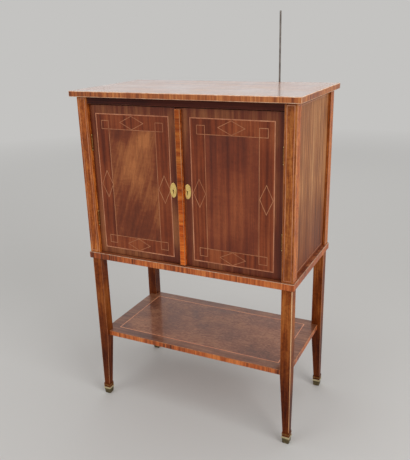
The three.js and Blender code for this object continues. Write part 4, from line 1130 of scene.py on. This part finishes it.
# ---------------------------------------------------------------- doors
@dataclass
class Door:
    """One inlaid door: a veneered board with its strings, squares and lozenges."""

    side: str
    frame_x: tuple[float, float]
    panel_x: tuple[float, float]
    lozenge_x: tuple[float, float]
    panel: Wood
    frame_z: tuple[float, float] = (589 * MM, 1037 * MM)
    panel_z: tuple[float, float] = (634 * MM, 990 * MM)
    frame_width: float = 3.0 * MM
    line_width: float = 1.8 * MM
    square: float = 26 * MM
    lozenge_z: tuple[float, float] = (612.5 * MM, 1011 * MM)
    lozenge_flat: tuple[float, float] = (44 * MM, 21.5 * MM)
    lozenge_tall: tuple[float, float] = (21.5 * MM, 46 * MM)
    lozenge_middle: float = 810 * MM
    arris: float = 0.8 * MM
    sunk: float = 0.35 * MM
    layer: float = 0.02 * MM
    hinge_arris: float = 0.15 * MM
    pin: tuple[float, float] = (321.3 * MM, -183 * MM)
    ball: float = 2.1 * MM

    def build(self) -> None:
        """Builds the board, its inlay and the hinge leaves on it."""
        self.board()
        self.inlay()
        for level in ("lower", "upper"):
            self.hinge(level)

    def hinge(self, level: str) -> None:
        """Builds one butt hinge with a ball on each end of its pin."""
        door_leaf, post_leaf = (f"{self.side}_{level}_hinge_{part}_leaf" for part in ("door", "post"))
        dress(door_leaf, f"{self.side}_door", "aged_brass", HINGE_BRASS, self.hinge_arris)
        dress(post_leaf, "case", "aged_brass", HINGE_BRASS, self.hinge_arris)
        low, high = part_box(post_leaf)
        balls = Shape()
        side = -1 if self.side == "left" else 1
        for z in (low.z - self.ball * 0.5, high.z + self.ball * 0.5):
            at = Vector((side * self.pin[0], self.pin[1], z))
            bmesh.ops.create_uvsphere(
                balls.bm, u_segments=20, v_segments=12, radius=self.ball, matrix=Matrix.Translation(at)
            )
        balls.piece(f"{self.side}_{level}_hinge_balls", "case", "polished_brass", [BRASS])

    def board(self) -> None:
        """Builds the board with a figured field inside the inner lines."""
        node = f"{self.side}_door"
        shape = Shape.of_node(node)
        shape.soften(self.arris, 2, 1, shape.on_rim())
        cuts = [(Vector((x, 0, 0)), Vector((1, 0, 0))) for x in (*self.frame_x, *self.panel_x)]
        cuts += [(Vector((0, 0, z)), Vector((0, 0, 1))) for z in (*self.frame_z, *self.panel_z)]
        shape.score(Facing.FRONT, cuts)

        def inside(x: tuple[float, float], z: tuple[float, float]) -> Callable[[Face], bool]:
            """Returns a test for forward faces between two values of X and of Z."""

            def test(face: Face) -> bool:
                """Tells whether a face looks forward there."""
                place = face.calc_center_bounds()
                return face.normal.y < -FLAT and x[0] < place.x < x[1] and z[0] < place.z < z[1]

            return test

        shape.paint_where(inside(self.frame_x, self.frame_z), 3)
        shape.paint_where(inside(self.panel_x, self.panel_z), 2)
        finishes = [DOOR_MARGIN, DARK_ARRIS, self.panel, DOOR_BAND]
        shape.piece(f"{node}_board", node, "figured_mahogany", finishes, [node])

    def inlay(self) -> None:
        """Lays the strings: outer frame, inner lines, corner squares and four lozenges."""
        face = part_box(f"{self.side}_door")[0].y + self.sunk
        shape = Shape()

        def ring(x: tuple[float, float], z: tuple[float, float], width: float, sink: float = 0.0) -> None:
            """Lays a rectangle between two values of X and of Z."""
            centre = Vector(((x[0] + x[1]) / 2, face + sink, (z[0] + z[1]) / 2))
            half = ((x[1] - x[0]) / 2, (z[1] - z[0]) / 2)
            shape.line_ring(centre, half, width, Facing.FRONT, finish=int(width < self.frame_width))

        ring(self.frame_x, self.frame_z, self.frame_width)
        ring(self.panel_x, self.panel_z, self.line_width)
        overlap = self.line_width
        for x_edge, x_way in zip(self.panel_x, (-1, 1)):
            for z_edge, z_way in zip(self.panel_z, (-1, 1)):
                xs = sorted((x_edge - x_way * overlap, x_edge + x_way * self.square))
                zs = sorted((z_edge - z_way * overlap, z_edge + z_way * self.square))
                ring((xs[0], xs[1]), (zs[0], zs[1]), self.line_width, self.layer)
        middle_x = sum(self.frame_x) / 2
        lozenges = [(middle_x, z, self.lozenge_flat) for z in self.lozenge_z]
        lozenges += [(x, self.lozenge_middle, self.lozenge_tall) for x in self.lozenge_x]
        for x, z, half in lozenges:
            centre = Vector((x, face + 2 * self.layer, z))
            shape.line_ring(centre, half, self.line_width, Facing.FRONT, lozenge=True, finish=1)
        shape.piece(f"{self.side}_door_inlay", f"{self.side}_door", "boxwood_inlay", [STRING, FINE_STRING])


DOORS = (
    Door("left", (-302 * MM, -39 * MM), (-256 * MM, -85.5 * MM), (-275 * MM, -63.5 * MM), DOOR_LEFT),
    Door("right", (31 * MM, 296 * MM), (78.5 * MM, 249.5 * MM), (57 * MM, 271 * MM), DOOR_RIGHT),
)


@dataclass
class DoorFittings:
    """Meeting strip, keyhole plates, lock and bolts."""

    strip_arris: float = 1.4 * MM
    plate_edge: float = 0.7 * MM
    plate_dome: float = 0.9 * MM
    keyhole_half: tuple[float, float] = (6 * MM, 12 * MM)
    plate_pin: float = 1.3 * MM
    pin_inset: float = 4 * MM
    pin_sunk: float = 0.25 * MM

    def escutcheon(self, side: str) -> None:
        """Builds one domed keyhole plate with a pin above and below."""
        node = f"escutcheon_{side}"
        low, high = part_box(node)
        middle = (low + high) / 2
        shape = Shape.of_node(node)
        rim = max(abs(vert.co.z - middle.z) for vert in shape.bm.verts)

        def outer(edge: Edge) -> bool:
            """Tells whether an edge lies on the plate's front outline."""
            reach = [
                (v.co.x - middle.x) ** 2 / (high.x - middle.x) ** 2 + (v.co.z - middle.z) ** 2 / rim ** 2
                for v in edge.verts
            ]
            return min(reach) > 0.9 and all(vert.co.y < middle.y for vert in edge.verts)

        shape.soften(self.plate_edge, 3, 0, outer)
        hole = [
            vert for vert in shape.bm.verts
            if abs(vert.co.y - low.y) < WELD and abs(vert.co.x - middle.x) < self.keyhole_half[0]
            and abs(vert.co.z - middle.z) < self.keyhole_half[1]
        ]
        bmesh.ops.translate(shape.bm, verts=hole, vec=(0, -self.plate_dome, 0))
        bmesh.ops.triangulate(shape.bm, faces=[face for face in shape.bm.faces if face.normal.y < -0.5])
        for z in (low.z + self.pin_inset, high.z - self.pin_inset):
            spot = Vector((middle.x, low.y - self.pin_sunk, z))
            shape.screw(spot, Facing.FRONT, self.plate_pin, 0.2)
        shape.piece(f"{node}_domed", f"{side}_door", "polished_brass", [PLATE_BRASS], [node], 60.0)

    def build(self) -> None:
        """Builds every fitting."""
        strip = Shape.of_node("meeting_strip").soften(self.strip_arris, 3, 1)
        finishes = [STRIP, ARRIS]
        strip.piece("meeting_strip_dressed", "right_door", "crossbanded_mahogany", finishes, ["meeting_strip"])
        for side in ("left", "right"):
            self.escutcheon(side)
        dress("lock_case", "right_door", "polished_brass", BRASS)
        dress("lock_bolt", "lock_bolt", "steel", STEEL)
        for end in ("top", "bottom"):
            dress(f"left_door_{end}_bolt", f"left_{end}_bolt", "polished_brass", BRASS, 0.0)


# ---------------------------------------------------------------- lid
@dataclass
class Lid:
    """The flat top with its crossbanded edge, long hinge and quadrant stay."""

    arris: float = 1.9 * MM

    def build(self) -> None:
        """Builds the lid and what holds it."""
        shape = Shape.of_node("lid")
        shape.paint_where(lambda face: not faces_up(face), 1)
        shape.paint_where(lambda face: face.normal.z < -0.7, 3)
        # The rounded edges take the pale lid arris: painted highlight, partly worn edge.
        shape.soften(self.arris, 3, 2, shape.on_rim())
        finishes = [TOP, LID_BAND, LID_ARRIS, INSIDE]
        shape.piece("lid_dressed", "lid", "figured_mahogany", finishes, ["lid"])
        for node, body in (("lid_hinge_upper_leaf", "lid"), ("lid_hinge_lower_leaf", "case"), ("lid_stay", "lid")):
            dress(node, body, "polished_brass", BRASS, 0.0)
        dress("stay_guide", "case", "polished_brass", BRASS)


# ---------------------------------------------------------------- deck
@dataclass
class Deck:
    """Motor board with the turntable, brake, speed knob and loose crank."""

    spindle: tuple[float, float] = (-60 * MM, 10 * MM)
    turntable_radius: float = 127 * MM
    felt_edge: float = 2.6 * MM
    felt_depth: float = 1.6 * MM
    felt_hole: float = 4.6 * MM
    dial_radii: tuple[float, float] = (15.5 * MM, 20 * MM)
    dial_depth: float = 0.6 * MM
    dial_marks: int = 11
    knob_axis: float = 13 * MM
    knob_ribs: int = 36
    rib_radius: float = 12.4 * MM
    rib_height: float = 6 * MM
    rib_size: Triple = (1.2 * MM, 0.9 * MM, 6 * MM)
    mark_size: Triple = (3 * MM, 0.5 * MM, 0.16 * MM)
    mark_start: float = math.radians(-60)
    mark_step: float = math.radians(30)
    grip_start: float = 257 * MM

    def build(self) -> None:
        """Builds everything on the board."""
        dress("motor_board", "case", "rail_mahogany", INSIDE, 0.0)
        self.turntable()
        dress("brake_lever", "brake", "nickel", NICKEL)
        self.speed_control()
        shape = Shape.of_node("winding_crank")
        shape.paint_where(lambda face: face.calc_center_median().x < self.grip_start, 1)
        shape.soften(0.6 * MM, sharper_than=60.0)
        shape.piece("winding_crank_dressed", "case", "nickel", [NICKEL, GRIP], ["winding_crank"], 45.0)

    def turntable(self) -> None:
        """Builds the nickelled platter, its baize and the spindle."""
        platter = Shape.of_node("turntable").soften(0.4 * MM, sharper_than=60.0)
        platter.piece("turntable_platter", "turntable", "nickel", [NICKEL], ["turntable"])
        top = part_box("turntable")[1].z
        radius, depth = self.turntable_radius - self.felt_edge, self.felt_depth
        profile = [
            (self.felt_hole, 0.0), (radius, 0.0), (radius + 0.4 * MM, depth * 0.4),
            (radius + 0.1 * MM, depth * 0.8), (radius - 0.6 * MM, depth), (self.felt_hole, depth),
        ]
        felt = Shape()
        felt.lathe(profile, Vector((*self.spindle, top)), steps=96)
        felt.piece("turntable_baize", "turntable", "green_baize", [FELT])
        spindle = Shape.of_node("turntable_spindle").soften(0.25 * MM, sharper_than=50.0)
        spindle.piece("turntable_spindle_dressed", "turntable", "steel", [STEEL], ["turntable_spindle"])

    def speed_control(self) -> None:
        """Builds the speed knob with its milled edge, and the scale under it."""
        low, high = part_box("speed_knob")
        knob = Shape.of_node("speed_knob").soften(0.3 * MM, sharper_than=40.0)
        centre = Vector(((low.x + high.x) / 2, low.y + self.knob_axis, low.z))
        turns = [math.tau * step / self.knob_ribs for step in range(self.knob_ribs)]
        knob.blocks_round(centre + Vector((0, 0, self.rib_height)), self.rib_radius, self.rib_size, turns)
        knob.piece("speed_knob_milled", "speed_knob", "nickel", [NICKEL], ["speed_knob"])
        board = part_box("motor_board")[1].z
        scale = Shape()
        inner, outer = self.dial_radii
        profile = [
            (inner, 0.0), (outer, 0.0), (outer, self.dial_depth * 0.7), (outer - 0.4 * MM, self.dial_depth),
            (inner, self.dial_depth),
        ]
        scale.lathe(profile, Vector((centre.x, centre.y, board)), steps=72)
        face = Vector((centre.x, centre.y, board + self.dial_depth))
        marks = [self.mark_start + self.mark_step * step for step in range(self.dial_marks)]
        scale.blocks_round(face, (inner + outer) / 2, self.mark_size, marks, 1)
        scale.piece("speed_scale", "case", "polished_brass", [BRASS, BLACK])


@dataclass
class ToneArm:
    """Swinging tube on its screwed base, with the lifting sound box at its end."""

    axis: tuple[float, float] = (150 * MM, 128 * MM)
    screw_circle: float = 27 * MM
    screw_radius: float = 2.6 * MM
    tube_z: float = 1022 * MM
    tube_radius: float = 13 * MM
    flange: float = 4.2 * MM
    ring_half: float = 1.6 * MM
    ring_places: tuple[float, ...] = (100 * MM, -54 * MM, -62 * MM)
    disc_centre: Triple = (142.5 * MM, -106 * MM, 1026 * MM)
    disc_radius: float = 25 * MM

    def build(self) -> None:
        """Builds the base, the arm and the sound box."""
        base = Shape.of_node("tonearm_base").soften(0.5 * MM, sharper_than=60.0)
        middle = Vector((*self.axis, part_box("motor_board")[1].z + self.flange))
        for step in range(3):
            angle = math.tau * step / 3 + 0.5
            away = Vector((math.cos(angle), math.sin(angle), 0)) * self.screw_circle
            base.screw(middle + away, Facing.TOP, self.screw_radius, angle)
        base.piece("tonearm_base_dressed", "case", "nickel", [NICKEL], ["tonearm_base"], 45.0)
        arm = Shape.of_node("tonearm")
        radius, half = self.tube_radius, self.ring_half
        ring = [
            (radius - 0.6 * MM, -half), (radius + 0.5 * MM, -half), (radius + 1.2 * MM, -0.9 * MM),
            (radius + 1.2 * MM, 0.9 * MM), (radius + 0.5 * MM, half), (radius - 0.6 * MM, half),
        ]
        for y in self.ring_places:
            arm.lathe(ring, Vector((self.axis[0], y, self.tube_z)), Grain.Y, 48)
        arm.piece("tonearm_dressed", "tonearm", "nickel", [NICKEL], ["tonearm"], 45.0)
        self.sound_box()

    def sound_box(self) -> None:
        """Builds the sound box: case, clamping ring with screws, mica disc and stylus bar."""
        shape = Shape.of_node("soundbox")
        centre, radius = Vector(self.disc_centre), self.disc_radius
        ring = [
            (radius * 0.7, 0.0), (radius - 0.8 * MM, 0.0), (radius - 0.8 * MM, -1.0 * MM),
            (radius - 1.4 * MM, -1.6 * MM), (radius * 0.7, -1.2 * MM),
        ]
        shape.lathe(ring, centre, Grain.X, 64)
        disc = [(0.0, 0.2 * MM), (radius * 0.72, 0.2 * MM), (radius * 0.72, -0.4 * MM), (0.0, -0.4 * MM)]
        shape.lathe(disc, centre, Grain.X, 48, finish=1)
        boss = [(0.0, 0.0), (2.4 * MM, 0.0), (2.4 * MM, -1.0 * MM), (1.4 * MM, -1.8 * MM), (0.0, -1.8 * MM)]
        shape.lathe(boss, centre, Grain.X, 20)
        low = centre + Vector((-1.6 * MM, -1.0 * MM, -radius + 2 * MM))
        shape.block(low, centre + Vector((-0.6 * MM, 1.0 * MM, 0.0)), 0.2 * MM)
        for step in range(3):
            angle = math.tau * step / 3 + 0.4
            spot = Vector((-1.3 * MM, math.cos(angle) * radius * 0.83, math.sin(angle) * radius * 0.83))
            shape.screw(centre + spot, Facing.LEFT, 1.5 * MM, angle)
        shape.piece("soundbox_dressed", "soundbox", "nickel", [NICKEL, MICA], ["soundbox"], 45.0)


# ---------------------------------------------------------------- motor, horn and rod
@dataclass
class Motor:
    """Spring motor under the board."""

    parts: tuple[tuple[str, str, str, Finish], ...] = (
        ("motor_frame", "case", "cast_iron", IRON),
        ("spring_barrel", "barrel", "steel", STEEL),
        ("governor", "governor", "polished_brass", BRASS),
        ("winding_shaft", "winding_shaft", "steel", STEEL),
        ("winding_bush", "case", "polished_brass", BRASS),
    )

    def build(self) -> None:
        """Builds the motor's pieces."""
        for node, body, slot, finish in self.parts:
            dress(node, body, slot, finish, 0.0)


@dataclass
class Horn:
    """Wooden horn, its iron throat and the board round its mouth."""

    mouth_z: float = 715 * MM
    string_half: tuple[float, float] = (226 * MM, 126 * MM)
    string_width: float = 3 * MM
    string_sunk: float = 0.3 * MM

    def build(self) -> None:
        """Builds the horn's pieces."""
        dress("horn", "case", "pine", PINE, 0.0)
        dress("horn_throat", "case", "cast_iron", IRON, 0.0)
        dress("horn_fascia", "case", "rail_mahogany", INSIDE)
        middle = Vector((0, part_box("horn_fascia")[0].y + self.string_sunk, self.mouth_z))
        string = Shape().line_ring(middle, self.string_half, self.string_width, Facing.FRONT)
        string.piece("horn_mouth_string", "case", "boxwood_inlay", [STRING])


@dataclass
class Rod:
    """Slim rod that slides in a bracket behind the case."""

    rod_x: float = 167.5 * MM
    strip_back: float = 194.5 * MM
    screw_places: tuple[float, ...] = (912 * MM, 965 * MM, 1020 * MM)
    screw_radius: float = 3.2 * MM

    def build(self) -> None:
        """Builds the rod and its bracket."""
        dress("rod", "rod", "steel", STEEL, 0.0)
        dress("rod_bracket", "case", "blackened_steel", BLACK, 0.0)
        screws = Shape()
        for z in self.screw_places:
            screws.screw(Vector((self.rod_x, self.strip_back, z)), Facing.BACK, self.screw_radius, z * 9)
        screws.piece("rod_bracket_screws", "case", "steel", [STEEL])


# ---------------------------------------------------------------- studio
@dataclass
class Lamp:
    """A soft square lamp that looks at a point."""

    name: str
    place: Triple
    target: Triple
    size: tuple[float, float]
    radiance: float

    def build(self) -> None:
        """Hangs the lamp where no camera sees it."""
        light = bpy.data.lights.new(self.name, "AREA")
        light.shape = "RECTANGLE"
        light.size, light.size_y = self.size
        light.energy = self.radiance * math.pi * self.size[0] * self.size[1]
        lamp = bpy.data.objects.new(self.name, light)
        lamp.location = self.place
        aim = Vector(self.target) - Vector(self.place)
        lamp.rotation_euler = aim.to_track_quat("-Z", "Y").to_euler()
        lamp.visible_camera = False
        bpy.context.scene.collection.objects.link(lamp)


@dataclass
class Studio:
    """Camera at the photograph's viewing angle, pale floor and soft lamps."""

    azimuth: float = 26.449
    elevation: float = 19.034
    roll: float = -1.552
    camera_place: Triple = (0.8292, -1.7017, 1.2815)
    focal_pixels: float = 586.297
    image_width: int = 410
    sensor: float = 36.0
    floor_half: float = 60.0
    floor_colour: Colour = (212, 211, 209)
    sky_colour: Colour = (196, 195, 193)
    sweep: tuple[float, float] = (0.9, 0.975)
    ambient: float = 0.45
    lamps: list[Lamp] = field(
        default_factory=lambda: [
            Lamp("side_lamp", (3.0, -1.4, 2.4), (0.0, 0.0, 0.7), (2.2, 2.2), 3.4),
            Lamp("front_lamp", (-1.6, -3.4, 2.4), (0.0, 0.0, 0.7), (2.4, 2.4), 1.4),
            Lamp("back_lamp", (-1.2, 3.6, 2.2), (0.0, 0.0, 1.0), (4.0, 1.6), 0.9),
            Lamp("top_lamp", (0.0, 0.0, 4.2), (0.0, 0.0, 0.0), (3.0, 3.0), 1.0),
        ]
    )

    def build(self) -> None:
        """Sets up the camera, the floor, the world and the lamps."""
        self.camera()
        self.floor()
        self.world()
        for lamp in self.lamps:
            lamp.build()
        bpy.context.scene.view_settings.view_transform = "Standard"

    def camera(self) -> None:
        """Places the camera from its angles."""
        azimuth, elevation, roll = (math.radians(a) for a in (self.azimuth, self.elevation, self.roll))
        level = math.cos(elevation)
        back = Vector((math.sin(azimuth) * level, -math.cos(azimuth) * level, math.sin(elevation)))
        right = Vector((math.cos(azimuth), math.sin(azimuth), 0.0))
        up = back.cross(right)
        turned_right = right * math.cos(roll) + up * math.sin(roll)
        turned_up = up * math.cos(roll) - right * math.sin(roll)
        data = bpy.data.cameras.new("camera")
        data.sensor_fit = "HORIZONTAL"
        data.sensor_width = self.sensor
        data.lens = self.focal_pixels * self.sensor / self.image_width
        camera = bpy.data.objects.new("camera", data)
        axes = Matrix((turned_right, turned_up, back)).transposed().to_4x4()
        camera.matrix_world = Matrix.Translation(self.camera_place) @ axes
        bpy.context.scene.collection.objects.link(camera)
        bpy.context.scene.camera = camera

    def floor(self) -> None:
        """Lays the plain pale floor."""
        shape = bmesh.new()
        bmesh.ops.create_grid(shape, x_segments=1, y_segments=1, size=self.floor_half)
        mesh = bpy.data.meshes.new("floor")
        shape.to_mesh(mesh)
        shape.free()
        sheet = Sheet("floor")
        sheet.constants(Base_Color=linear(self.floor_colour), Roughness=0.9, Specular_IOR_Level=0.1)
        self.fade_to_sky(sheet)
        mesh.materials.append(sheet.material)
        floor = bpy.data.objects.new("floor", mesh)
        bpy.context.scene.collection.objects.link(floor)

    def fade_to_sky(self, sheet: Sheet) -> None:
        """Lets the floor pass into the pale ground with distance, as a paper sweep does.

        Args:
            sheet: The floor's material.
        """
        near = sheet.glow((0.0, 0.0, 0.0), (self.floor_half,) * 3)
        far = sheet.spread(near, 1.0, 0.0, *self.sweep)
        glow = sheet.node("Emission")
        sheet.feed(glow, "Color", linear(self.sky_colour))
        blend = sheet.node("MixShader")
        sheet.link(far, blend.inputs[0])
        sheet.link(sheet.shader.outputs[0], blend.inputs[1])
        sheet.link(glow.outputs[0], blend.inputs[2])
        sheet.link(blend.outputs[0], sheet.tree.nodes["Material Output"].inputs["Surface"])

    def world(self) -> None:
        """Lights the room evenly, and shows a pale ground to the camera, in reflections and through glass."""
        world = bpy.data.worlds.new("room")
        world.use_nodes = True
        nodes, links = world.node_tree.nodes, world.node_tree.links
        background = nodes["Background"]
        background.inputs["Color"].default_value = linear(self.sky_colour)
        path = nodes.new("ShaderNodeLightPath")
        seen = path.outputs["Is Camera Ray"]
        for kind in ("Is Glossy Ray", "Is Transmission Ray"):
            either = nodes.new("ShaderNodeMath")
            either.operation = "MAXIMUM"
            links.new(seen, either.inputs[0])
            links.new(path.outputs[kind], either.inputs[1])
            seen = either.outputs[0]
        strength = nodes.new("ShaderNodeMapRange")
        strength.inputs["To Min"].default_value = self.ambient / linear(self.sky_colour)[0]
        strength.inputs["To Max"].default_value = 1.0
        links.new(seen, strength.inputs["Value"])
        links.new(strength.outputs[0], background.inputs["Strength"])
        bpy.context.scene.world = world


def main() -> None:
    """Builds the studio and the cabinet."""
    logging.basicConfig(level=logging.INFO, format="%(message)s")
    parts = (Studio(), Stand(), Carcase(), *DOORS, DoorFittings(), Lid(), Deck(), ToneArm(), Motor(), Horn(), Rod())
    for part in parts:
        part.build()


if __name__ == "__main__":
    main()
